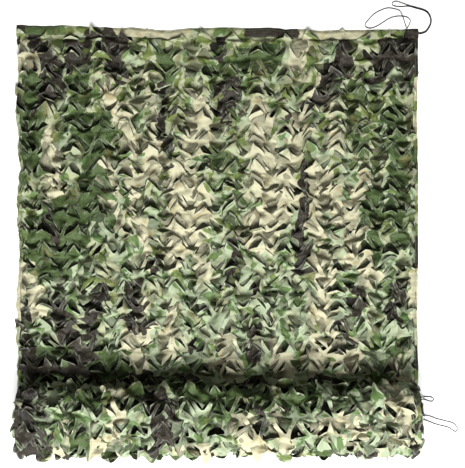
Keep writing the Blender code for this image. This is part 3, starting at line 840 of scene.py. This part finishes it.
def crown_distance(down):
    """How far round the roll a place is from the crown of its turn."""
    turns = np.interp(down, PATH_RUN, PATH_TURNS)
    return down - turn_down(np.floor(turns) + 0.5)


def roll_web(x, down):
    """The cloth between leaves in the roll; the roll's own weight keeps its foot level."""
    y = np.interp(down, PATH_RUN, PATH_Y)
    z = np.interp(down, PATH_RUN, PATH_Z)
    turns = np.interp(down, PATH_RUN, PATH_TURNS)
    inside = HALF_WIDTH - np.abs(x)
    free = eased(inside, SIDE_BINDING, 0.04)
    firm = 0.35 + 0.65 * eased(z, 0.01, 0.06)
    inner = 1 - 0.45 * eased(turns, 0.9, 1.4)
    across, along = web_drift(x, down)
    along = along + 0.010 * noise(x, down, 0.08, 0.09, 98)
    bulge = 0.006 * noise(x, down, 0.11, 0.09, 97) + 0.005 * eased(ROLL_Y - y, 0.0, 0.06)
    height = (1.5 * web_waves(x, down) + bulge) * free * firm * inner
    height = height + 0.004 * eased(turns, 1.0, 1.25) * eased(-turns, -2.4, -2.2)
    return np.stack([x + 1.6 * across * free, down + 1.3 * along * free, height], axis=-1)


TURN_PRINT_SHIFT = 0.035     # how far each turn's print lies along from that of the turn outside


def roll_fields(flat, rim=0.0):
    """The print on the roll, with a second run of it half a turn further round."""
    round_it = crown_distance(flat[:, 1])
    turns = np.floor(np.interp(flat[:, 1], PATH_RUN, PATH_TURNS))
    x = flat[:, 0] + TURN_PRINT_SHIFT * turns
    x = (x + HALF_WIDTH) % NET_WIDTH - HALF_WIDTH
    near = print_fields(x, round_it, ROLL_PRINT, 80, rim=rim)
    far = print_fields(0.1 - x, round_it + 0.33, ROLL_PRINT, 85, rim=rim)
    return {name: np.minimum(near[name], far[name]) for name in near}


def row_at(down):
    """The numbered row at a distance below the first hinge line."""
    return int(math.floor(down / ROW_PITCH * CELL_ROWS))


def make_rolled_cloth(name, from_turn, to_turn, columns, seed, bend):
    """Some turns of the roll: the cut grid wound along the path, its leaves bent outwards."""
    first_row = FLAT_LAST_ROW if from_turn == 0 else row_at(turn_down(from_turn))
    points, quads, flat, printed, rims = leaf_cloth(
        first_row, row_at(turn_down(to_turn)), *columns, roll_web, seed, bend)
    piece = add_piece(name, wind(points), quads, flat, roll_fields(printed, rims), printed)
    fit(piece, "leaf_cloth", "net_roll")
    return piece


CORE_SIDES = 72
CORE_RINGS = 120
CORE_INSET = 0.10            # how far inside the roll's ends the closed turn stops
CORE_TURN = 2.6              # the turn whose place it takes


def make_core():
    """A closed, lumpy turn inside the outer ones, which nothing shows through; its print is painted dark
    as shade.
    """
    ring = np.linspace(0, 2 * math.pi, CORE_SIDES, endpoint=False)
    reach = ROLL_LENGTH / 2 - CORE_INSET
    x = np.linspace(-reach, reach, CORE_RINGS)
    half = OUTER_HALF - CORE_TURN * TURN_DROP
    tall = OUTER_HALF_HEIGHT - CORE_TURN * TURN_DROP * OUTER_HALF_HEIGHT / OUTER_HALF
    y0, z0 = roll_outline(ring)
    gx, ga = np.meshgrid(x, ring, indexing="ij")
    lump = 1 + 0.035 * noise(gx, np.cos(ga), 0.04, 0.3, 90) + 0.03 * noise(gx, np.sin(ga), 0.05, 0.35, 91)
    body = np.stack([gx, ROLL_Y + half * y0 * lump, ROLL_Z + tall * z0 * lump], axis=-1)
    shrunk = [0.02, 0.35, 0.7]
    start = [np.stack([gx[0] + 0.004 * k, ROLL_Y + (body[0, :, 1] - ROLL_Y) * k,
                       ROLL_Z + (body[0, :, 2] - ROLL_Z) * k], axis=-1) for k in shrunk]
    end = [np.stack([gx[-1] - 0.004 * k, ROLL_Y + (body[-1, :, 1] - ROLL_Y) * k,
                     ROLL_Z + (body[-1, :, 2] - ROLL_Z) * k], axis=-1) for k in shrunk[::-1]]
    points = np.concatenate([np.array(start), body, np.array(end)])
    ids = np.arange(points.size // 3).reshape(-1, CORE_SIDES)
    quads = grid_quads(np.concatenate([ids, ids[:, :1]], axis=1))
    flat = np.stack([points[..., 0], np.tile(ring * 0.09, (len(points), 1))], axis=-1)
    fields = print_fields(flat[..., 0].ravel(), flat[..., 1].ravel() - 0.3, ROLL_PRINT, 84)
    return fit(add_piece("roll_inner_turns", points, quads, flat, fields), "leaf_cloth", "net_roll")


def under_web(x, down):
    """The lower layer of the gathered cloth, closer to the floor and out of step with the upper."""
    inside = HALF_WIDTH - np.abs(x)
    free = eased(inside, SIDE_BINDING, 0.06) * eased(down, -0.02, 0.03)
    height = 0.0048 + 0.0026 * noise(x, down, 0.04, 0.035, 152) * free
    across = 0.008 * noise(x, down, 0.07, 0.06, 153)
    along = 0.012 * noise(x, down, 0.07, 0.06, 154)
    return np.stack([x * 0.985 + across * free, down + (0.031 + along) * free, height], axis=-1)


def make_under_leaves():
    """Leaf-cut cloth of the lower layer, whose leaves come up through the gaps of the upper."""
    points, quads, flat, printed, rims = leaf_cloth(
        0, FLAT_LAST_ROW - CELL_ROWS, FIRST_COLUMN, LAST_COLUMN, under_web, 9, UNDER_BEND)
    fields = print_fields(printed[:, 0] + 0.02, FIRST_ROW - 0.03 - printed[:, 1], FLAT_PRINT, 64,
                          rim=rims)
    piece = add_piece("leaf_cloth_lower", lay_flat(points), quads, flat, fields, printed)
    fit(piece, "leaf_cloth", "net_sheet")
    return piece


def make_under_cloth():
    """A sheet of the cloth that shows in the gaps, painted dark as shade: a rumpled surface just over the
    floor.
    """
    x = np.linspace(-HALF_WIDTH + 0.012, HALF_WIDTH - 0.012, 80)[None, :]
    y = np.linspace(TOP_Y - 0.035, ROLL_Y + 0.02, 76)[:, None]
    height = 0.0012 + 0.0006 * noise(x, y, 0.05, 0.04, 150)
    sideways = 0.006 * noise(y + 0 * x, y, 0.04, 1.0, 151) * np.sign(x)
    points = np.stack([x + sideways, y + 0 * x, height], axis=-1)
    ids = np.arange(points.shape[0] * points.shape[1]).reshape(points.shape[:2])
    flat = points[..., :2]
    fields = print_fields(flat[..., 0].ravel() + 0.13, flat[..., 1].ravel() - 0.2,
                          ((), DARK_STROKES, DEEP_STROKES), 63)
    piece = add_piece("leaf_cloth_under", points, grid_quads(ids)[..., ::-1], flat, fields)
    fit(piece, "leaf_cloth", "net_sheet")
    return piece


# ---- the bindings ----------------------------------------------------------------------------
TAPE_STEP = 0.007
TAPE_FOLD = 0.0018           # thickness at the fold
TAPE_SEAM = 0.011            # depth by which a tape has risen to the cloth inside it
ROLL_TAPE_THICK = 0.0034


def tape_profile(width, thick, points_across):
    """Depth from the edge and height of a tape folded over it: under, round the fold, over.

    The upper side rises from the fold to the cloth and seam inside.
    """
    fold = np.linspace(-math.pi / 2, math.pi / 2, 7)
    radius = TAPE_FOLD / 2
    lower = radius + (width - radius) * np.linspace(1, 0, points_across) ** 1.3
    depth = np.concatenate([lower[:-1], radius - radius * np.cos(fold), lower[::-1][1:]])
    rise = (thick - TAPE_FOLD) * eased(lower[::-1][1:], radius, TAPE_SEAM)
    height = np.concatenate([np.zeros(points_across - 1), radius + radius * np.sin(fold),
                             TAPE_FOLD + rise])
    return depth, height


def pucker(run, depth, seed):
    """Small slanting puckers of a sewn edge."""
    wave = noise(run + 0.6 * depth, depth, 0.011, 0.03, seed)
    slow = noise(run, depth, 0.06, 0.05, seed + 1)
    return 0.0009 * wave + 0.0012 * slow


def finish_tape(name, points, run, depth, node, fields):
    """The mesh of a tape from its rows of points, run and depth being its place in its own cloth."""
    ids = np.arange(points.shape[0] * points.shape[1]).reshape(points.shape[:2])
    flat = np.stack([run + 0 * depth, depth + 0 * run], axis=-1)
    return fit(add_piece(name, points, grid_quads(ids), flat, fields), "binding_cloth", node)


def make_top_binding():
    """The hem's tape: a folded profile carried along the top edge, puckered, its width uneven."""
    x = np.linspace(-HALF_WIDTH, HALF_WIDTH, round(NET_WIDTH / TAPE_STEP) + 1)[:, None]
    depth, height = tape_profile(TOP_BINDING, HEM_THICK, 9)
    depth, height = depth[None, :], height[None, :]
    over = height > HEM_THICK * 0.6
    width = 1 + 0.07 * noise(x, 0 * x, 0.09, 1.0, 101)
    puff = np.where(over, np.abs(pucker(x, depth, 102)) * 1.6 + 0.0004, 0)
    y = hem_y(x) - depth * width + 0.0008 * noise(x, 0 * x, 0.02, 1.0, 104)
    points = np.stack([x + 0 * depth, y, height + puff + 0 * x], axis=-1)
    fields = print_fields(points[..., 0].ravel(), points[..., 1].ravel(), TAPE_PRINT, 61, 0.5)
    return finish_tape("edge_binding_top", points, x, depth, "binding_top", fields)


def make_side_binding(name, node, side, seed):
    """A side's tape: a folded profile carried down the edge, wider over one stretch on the right."""
    start = float(hem_y(side * HALF_WIDTH)) - TOP_BINDING - 0.001
    end = FIRST_ROW - FLAT_END
    y = np.linspace(start, end, round((start - end) / TAPE_STEP) + 1)[:, None]
    depth, height = tape_profile(SIDE_BINDING, HEM_THICK, 5)
    depth, height = depth[None, :], height[None, :]
    over = height > HEM_THICK * 0.6
    puff = np.where(over, np.abs(pucker(y, depth, seed)) + 0.0003, 0)
    wide = depth * (1 + 0.25 * np.clip(noise(y, 0 * y, 0.15, 1.0, seed + 5), -0.4, 1))
    spread = (eased(y, -0.33, -0.29) - eased(y, -0.13, -0.09)) * (side > 0)
    wide = wide + depth * 1.7 * spread
    puff = puff + np.where(over, 0.010 * spread * np.minimum(depth / 0.008, 1), 0)
    x = side * (side_x(y, side) - wide)
    points = np.stack([x, y + 0 * depth, height + puff + 0 * y], axis=-1)
    if side > 0:
        points = points[::-1]
    fields = print_fields(points[..., 0].ravel(), points[..., 1].ravel(), TAPE_PRINT, 62, 0.5)
    return finish_tape(name, points, y[::-1] if side > 0 else y, depth, node, fields)


def make_roll_binding(name, side, seed):
    """The side binding where it goes on with the cloth, turn after turn, to the roll's core."""
    down = np.arange(PATH_RUN[0], turn_down(END_TURNS - 0.25), TAPE_STEP)[:, None]
    depth, height = tape_profile(SIDE_BINDING, ROLL_TAPE_THICK, 5)
    depth, height = depth[None, :], height[None, :] - ROLL_TAPE_THICK / 2
    puff = pucker(down, depth, seed) * 1.2
    wobble = 0.0025 * noise(down, 0 * down, 0.05, 1.0, seed + 7)
    points = np.stack([side * (HALF_WIDTH - depth + 0 * down), down + 0 * depth,
                       height + puff + wobble], axis=-1)
    world = wind(points.reshape(-1, 3)).reshape(points.shape)
    world[..., 0] += side * 0.003 * noise(down, 0 * down, 0.035, 1.0, seed + 9)
    if side > 0:
        world = world[::-1]
    fields = roll_fields(points.reshape(-1, 3)[:, :2])
    return finish_tape(name, world, down, depth, "net_roll", fields)


STITCH = 0.0034
STITCH_PITCH = 0.0052
STITCH_RADIUS = 0.00035
HEM_SEAMS = (0.0070, TOP_BINDING - 0.0035)
SIDE_SEAM = 0.0098


def make_stitches():
    """Rows of thread that hold the bindings: short four-sided dashes, thin at both ends."""
    x = np.arange(-HALF_WIDTH + 0.012, HALF_WIDTH - 0.012, STITCH_PITCH)
    rows = []
    for depth in HEM_SEAMS:
        lift = TAPE_FOLD + (HEM_THICK - TAPE_FOLD) * eased(depth, TAPE_FOLD / 2, TAPE_SEAM)
        lift = lift + np.abs(pucker(x, depth, 102)) * 1.6 + 0.0007
        rows.append((np.stack([x, hem_y(x) - depth, lift], axis=-1), (1.0, 0.0, 0.0)))
    y = np.arange(TOP_Y - 0.07, ROLL_Y + 0.16, -STITCH_PITCH)
    for side in (-1, 1):
        lift = HEM_THICK + np.abs(pucker(y, SIDE_SEAM, 110 if side < 0 else 120)) + 0.0006
        across = side * (side_x(y, side) - SIDE_SEAM)
        rows.append((np.stack([across, y, lift], axis=-1), (0.0, 1.0, 0.0)))
    middles = np.concatenate([row for row, _ in rows])
    ahead = np.concatenate([np.tile(direction, (len(row), 1)) for row, direction in rows])
    beside = np.cross(ahead, (0.0, 0.0, 1.0))
    upward = np.array([0.0, 0.0, 1.0])
    along = np.array([-0.5, -0.3, 0.3, 0.5])[None, :, None, None] * STITCH
    size = np.array([0.4, 1.0, 1.0, 0.4])[None, :, None, None] * STITCH_RADIUS
    turn = np.arange(4) * math.pi / 2
    round_it = (np.cos(turn)[None, None, :, None] * beside[:, None, None]
                + np.sin(turn)[None, None, :, None] * upward)
    points = middles[:, None, None] + along * ahead[:, None, None] + size * round_it
    ids = np.arange(points.size // 3).reshape(points.shape[:3])
    closed = np.concatenate([ids, ids[..., :1]], axis=-1)
    quads = np.concatenate([grid_quads(closed).reshape(-1, 4), ids[:, 0, ::-1], ids[:, -1]])
    flat = points.reshape(-1, 3)[:, :2]
    far = np.full(len(flat), 1.0)
    fields = {"tan_distance": far, "dark_distance": far, "deep_distance": far, "rim": far}
    piece = add_piece("binding_stitches", points, quads, flat, fields)
    return fit(piece, "binding_cloth", "binding_top", "binding_left", "binding_right")


BINDINGS = [
    make_stitches(),
    make_top_binding(),
    make_side_binding("edge_binding_left", "binding_left", -1, 110),
    make_side_binding("edge_binding_right", "binding_right", 1, 120),
    make_roll_binding("edge_binding_roll_left", -1, 130),
    make_roll_binding("edge_binding_roll_right", 1, 140),
]


# ---- the cloth, with what is sewn on it ------------------------------------------------------
FLAT_CLOTH = make_flat_cloth()
UNDER_LEAVES = make_under_leaves()
UNDER_CLOTH = make_under_cloth()
ALL_COLUMNS = (FIRST_COLUMN, LAST_COLUMN)
LEFT_END = (FIRST_COLUMN, FIRST_COLUMN + CELL_COLS)
RIGHT_END = (LAST_COLUMN - CELL_COLS, LAST_COLUMN)
ROLLED = [
    make_rolled_cloth("leaf_cloth_roll_outer", 0, 1.25, ALL_COLUMNS, 31, ROLL_BEND),
    make_rolled_cloth("leaf_cloth_roll_second", 1.25, 2.2, ALL_COLUMNS, 22, SECOND_BEND),
    make_rolled_cloth("leaf_cloth_roll_left_end", 2.2, END_TURNS - 0.2, LEFT_END, 23, INNER_BEND),
    make_rolled_cloth("leaf_cloth_roll_right_end", 2.2, END_TURNS - 0.2, RIGHT_END, 24, INNER_BEND),
]
CORE = make_core()


# ---- materials -------------------------------------------------------------------------------
class Value:
    """A socket with arithmetic: an expression on values adds its Math nodes."""

    def __init__(self, shop, socket):
        self.shop = shop
        self.socket = socket

    def math(self, operation, *others, swap=False):
        sides = [self, *others]
        if swap:
            sides.reverse()
        return self.shop.node("ShaderNodeMath", {"operation": operation}, *sides)

    def __add__(self, other):
        return self.math("ADD", other)

    def __sub__(self, other):
        return self.math("SUBTRACT", other)

    def __rsub__(self, other):
        return self.math("SUBTRACT", other, swap=True)

    def __mul__(self, other):
        return self.math("MULTIPLY", other)

    def sine(self):
        return self.math("SINE")

    def least(self, other):
        return self.math("MINIMUM", other)

    def most(self, other):
        return self.math("MAXIMUM", other)


class Shop:
    """Makes the nodes of one material."""

    def __init__(self, name):
        self.material = bpy.data.materials.new(name)
        self.material.use_nodes = True
        self.tree = self.material.node_tree
        self.shader = self.tree.nodes["Principled BSDF"]

    def node(self, kind, settings, *inputs, out=0, **named):
        node = self.tree.nodes.new(kind)
        for key, value in settings.items():
            setattr(node, key, value)
        pairs = list(enumerate(inputs)) + list(named.items())
        for key, value in pairs:
            socket = node.inputs[key if isinstance(key, int) else key.replace("_", " ")]
            self.feed(socket, value)
        return Value(self, node.outputs[out])

    def feed(self, socket, value):
        if isinstance(value, Value):
            self.tree.links.new(value.socket, socket)
        elif isinstance(value, tuple) and len(value) == 3 and len(socket.default_value) == 4:
            socket.default_value = (*value, 1.0)
        else:
            socket.default_value = value

    def field(self, name):
        return self.node("ShaderNodeAttribute", {"attribute_name": name}, out="Fac")

    def speckle(self, place, scale, detail=2.0, roughness=0.5):
        return self.node("ShaderNodeTexNoise", {}, Vector=place, Scale=scale, Detail=detail,
                         Roughness=roughness, out="Fac")

    def stretch(self, place, x, y, shift=0.0):
        return self.node("ShaderNodeMapping", {}, Vector=place, Scale=(x, y, 1.0),
                         Location=(shift, shift, 0.0), out="Vector")

    def facets(self, place, scale):
        """Distance to the nearest of scattered points, counted along x and y: flat-sided peaks."""
        return self.node("ShaderNodeTexVoronoi", {"distance": "MANHATTAN"}, Vector=place, Scale=scale,
                         out="Distance")

    def step(self, value, low, high):
        return self.node("ShaderNodeMapRange", {"interpolation_type": "SMOOTHSTEP"}, Value=value,
                         From_Min=low, From_Max=high, out="Result")

    def blend(self, share, a, b):
        mix = self.node("ShaderNodeMix", {"data_type": "RGBA"}, share, out=2)
        self.feed(mix.socket.node.inputs[6], a)
        self.feed(mix.socket.node.inputs[7], b)
        return mix

    def bump(self, height, distance, strength=1.0, under=None):
        named = {"Strength": strength, "Distance": distance, "Height": height}
        if under is not None:
            named["Normal"] = under
        return self.node("ShaderNodeBump", {}, out="Normal", **named)


GREEN = (0.060, 0.103, 0.031)
WARM_GREEN = (0.083, 0.110, 0.027)
PALE_GREEN = (0.199, 0.237, 0.150)
PALE_SAGE = (0.222, 0.236, 0.143)
DEEP_GREEN = (0.034, 0.056, 0.015)
TAN = (0.310, 0.297, 0.198)
TAN_SHADE = (0.255, 0.222, 0.122)
BROWN_BLACK = (0.0130, 0.0098, 0.0062)
OLIVE = (0.088, 0.083, 0.028)
RIM_HIGHLIGHT_AND_FRAY = (0.42, 0.43, 0.35)


WEAVE = 3600.0               # radians of thread wave in a metre of cloth


def cloth_material(name, shade=1.0):
    """Printed plain-weave cloth: inks on a green ground, fine weave, small creases.

    shade is painted shade: it dims the whole print, down to black at 0.
    """
    shop = Shop(name)
    place = shop.node("ShaderNodeUVMap", {"uv_map": "print_map"}, out="UV")
    cloth = shop.node("ShaderNodeUVMap", {"uv_map": "cloth_map"}, out="UV")
    mottled = shop.speckle(place, 21.0, 2.0)
    fine = shop.speckle(place, 95.0, 3.0, 0.6)
    wander = (fine - 0.5) * 0.012
    place_x = shop.node("ShaderNodeSeparateXYZ", {}, place, out="X")
    lower = Value(shop, place_x.socket.node.outputs["Y"]) * 0.12
    warm = shop.step(shop.speckle(shop.stretch(place, 15.0, 11.0, 1.0), 1.0, 2.0) - lower, 0.36, 0.50)
    ground = shop.blend(warm, GREEN, WARM_GREEN)
    paler = mottled + (lower * 0.30).least(0.034)
    pale = shop.blend(warm, PALE_GREEN, PALE_SAGE)
    ground = shop.blend(shop.step(paler, 0.463, 0.513), ground, pale)
    deep = shop.step(shop.field("deep_distance") + wander, 0.0015, -0.0015)
    flecks = shop.step(shop.speckle(shop.stretch(place, 24.0, 15.0, 3.0), 1.0, 2.0), 0.66, 0.68)
    ground = shop.blend(deep.most(flecks), ground, DEEP_GREEN)
    olive = shop.step(shop.speckle(shop.stretch(place, 16.0, 12.0, 9.0), 1.0, 1.0), 0.60, 0.72)
    ground = shop.blend(olive * 0.8, ground, OLIVE)
    tan = shop.step(shop.field("tan_distance") + wander, 0.003, 0.0)
    tan_ink = shop.blend(shop.step(mottled, 0.55, 0.68), TAN, TAN_SHADE)
    ground = shop.blend(tan, ground, tan_ink)
    spots = shop.step(shop.speckle(shop.stretch(place, 17.0, 12.0, 7.0), 1.0, 2.0), 0.685, 0.695)
    dark = shop.step(shop.field("dark_distance") + wander, 0.0015, -0.0015).most(spots)
    ground = shop.blend(dark, ground, BROWN_BLACK)
    # painted highlight along the cut edges, with pale fray specks all over
    rim_highlight_and_fray = shop.field("rim") * 0.34 + (shop.speckle(place, 300.0, 2.0) - 0.5) * 0.45
    ground = shop.blend(rim_highlight_and_fray.most(0.0), ground, RIM_HIGHLIGHT_AND_FRAY)
    # painted shade: the print dimmed by shade
    ground = shop.blend(shade, (0.0, 0.0, 0.0), ground)
    axes = shop.node("ShaderNodeSeparateXYZ", {}, cloth, out="X")
    down = Value(shop, axes.socket.node.outputs["Y"])
    threads = (axes * WEAVE).sine() * (down * WEAVE).sine()
    creases = shop.speckle(cloth, 75.0, 1.0, 0.45)
    sharp = 0.5 - (creases - 0.5).math("ABSOLUTE")
    crumple = shop.facets(cloth, 34.0) + shop.facets(shop.stretch(cloth, 60.0, 47.0, 4.0), 1.0) * 0.30
    planes = shop.bump(crumple, 0.0085, 0.38)
    soft = shop.bump(sharp + shop.speckle(cloth, 260.0, 2.0) * 0.09, 0.008, 0.22, planes)
    normal = shop.bump(threads, 0.00025, 0.35, soft)
    shop.feed(shop.shader.inputs["Base Color"], ground)
    shop.feed(shop.shader.inputs["Roughness"], fine * 0.3 + 0.33)
    shop.feed(shop.shader.inputs["Normal"], normal)
    shop.shader.inputs["Specular IOR Level"].default_value = 0.12
    shop.shader.inputs["Sheen Weight"].default_value = 0.02
    return shop.material


def cord_material():
    """Braided black cord: two sets of strands that cross along the tube."""
    shop = Shop("tie_cord_finish")
    place = shop.node("ShaderNodeUVMap", {"uv_map": "cloth_map"}, out="UV")
    run = shop.node("ShaderNodeSeparateXYZ", {}, place, out="X")
    around = Value(shop, run.socket.node.outputs["Y"])
    one = (run * 2600.0 + around * 25.13).sine()
    two = (run * 2600.0 - around * 25.13).sine()
    strands = one * two
    shop.feed(shop.shader.inputs["Base Color"],
              shop.blend(strands * 0.5 + 0.5, (0.004, 0.004, 0.005), (0.014, 0.014, 0.016)))
    shop.feed(shop.shader.inputs["Roughness"], 0.7 - strands * 0.1)
    shop.shader.inputs["Specular IOR Level"].default_value = 0.1
    shop.feed(shop.shader.inputs["Normal"], shop.bump(strands, 0.0003, 0.5))
    return shop.material


CLOTH_FINISH = cloth_material("leaf_cloth_finish")
BINDING_FINISH = cloth_material("binding_finish")
# painted shade: the cloth's print dimmed to 0.16, for cloth that is seen only in shade
SHADED_FINISH = cloth_material("shaded_cloth_finish", 0.16)
# painted shade: the cloth's print dimmed to half, for cloth lying under the upper layer
PAINTED_HALF_SHADE_FINISH = cloth_material("painted_half_shade_cloth_finish", 0.5)
CORD_FINISH = cord_material()
FINISHED = (
    (CLOTH_FINISH, [FLAT_CLOTH, ROLLED[0], *ROLLED[2:]]),
    # painted shade: the lower layer of leaves and the roll's second turn have their print at half
    # brightness
    (PAINTED_HALF_SHADE_FINISH, [UNDER_LEAVES, ROLLED[1]]),
    # painted shade: the sheet under the gaps and the roll's core have their print dimmed to 0.16
    (SHADED_FINISH, [UNDER_CLOTH, CORE]),
    (BINDING_FINISH, BINDINGS),
    (CORD_FINISH, TIE_LOOPS),
)
for finish, pieces in FINISHED:
    for finished in pieces:
        finished.data.materials.append(finish)


# ---- floor and light -------------------------------------------------------------------------
def make_floor():
    size = 20.0
    mesh = bpy.data.meshes.new("floor")
    mesh.from_pydata([(-size, -size, 0), (size, -size, 0), (size, size, 0), (-size, size, 0)], [],
                     [(0, 1, 2, 3)])
    floor = bpy.data.objects.new("floor", mesh)
    floor.location = (0, 0, -0.0005)
    bpy.context.scene.collection.objects.link(floor)
    shop = Shop("floor_finish")
    shop.shader.inputs["Base Color"].default_value = (0.72, 0.72, 0.72, 1)
    shop.shader.inputs["Roughness"].default_value = 0.9
    shop.shader.inputs["Specular IOR Level"].default_value = 0.0
    mesh.materials.append(shop.material)


def add_light(name, location, size, power):
    """A rectangular lamp that faces the middle of the net."""
    data = bpy.data.lights.new(name, "AREA")
    data.shape = "RECTANGLE"
    data.size, data.size_y = size
    data.energy = power
    lamp = bpy.data.objects.new(name, data)
    lamp.location = location
    x, y, z = location
    lamp.rotation_euler = (math.atan2(math.hypot(x, y), z), 0, math.atan2(y, x) + math.pi / 2)
    bpy.context.scene.collection.objects.link(lamp)


make_floor()
add_light("key", (0.1, -4.05, 4.7), (5.4, 2.4), 1305)
add_light("fill", (0, 2.6, 5.0), (3.0, 1.0), 38)
world = bpy.data.worlds.new("studio")
world.use_nodes = True
background = world.node_tree.nodes["Background"].inputs
background["Color"].default_value = (0.99, 1.0, 0.76, 1)
background["Strength"].default_value = 0.12
bpy.context.scene.world = world
bpy.context.scene.view_settings.view_transform = "Standard"
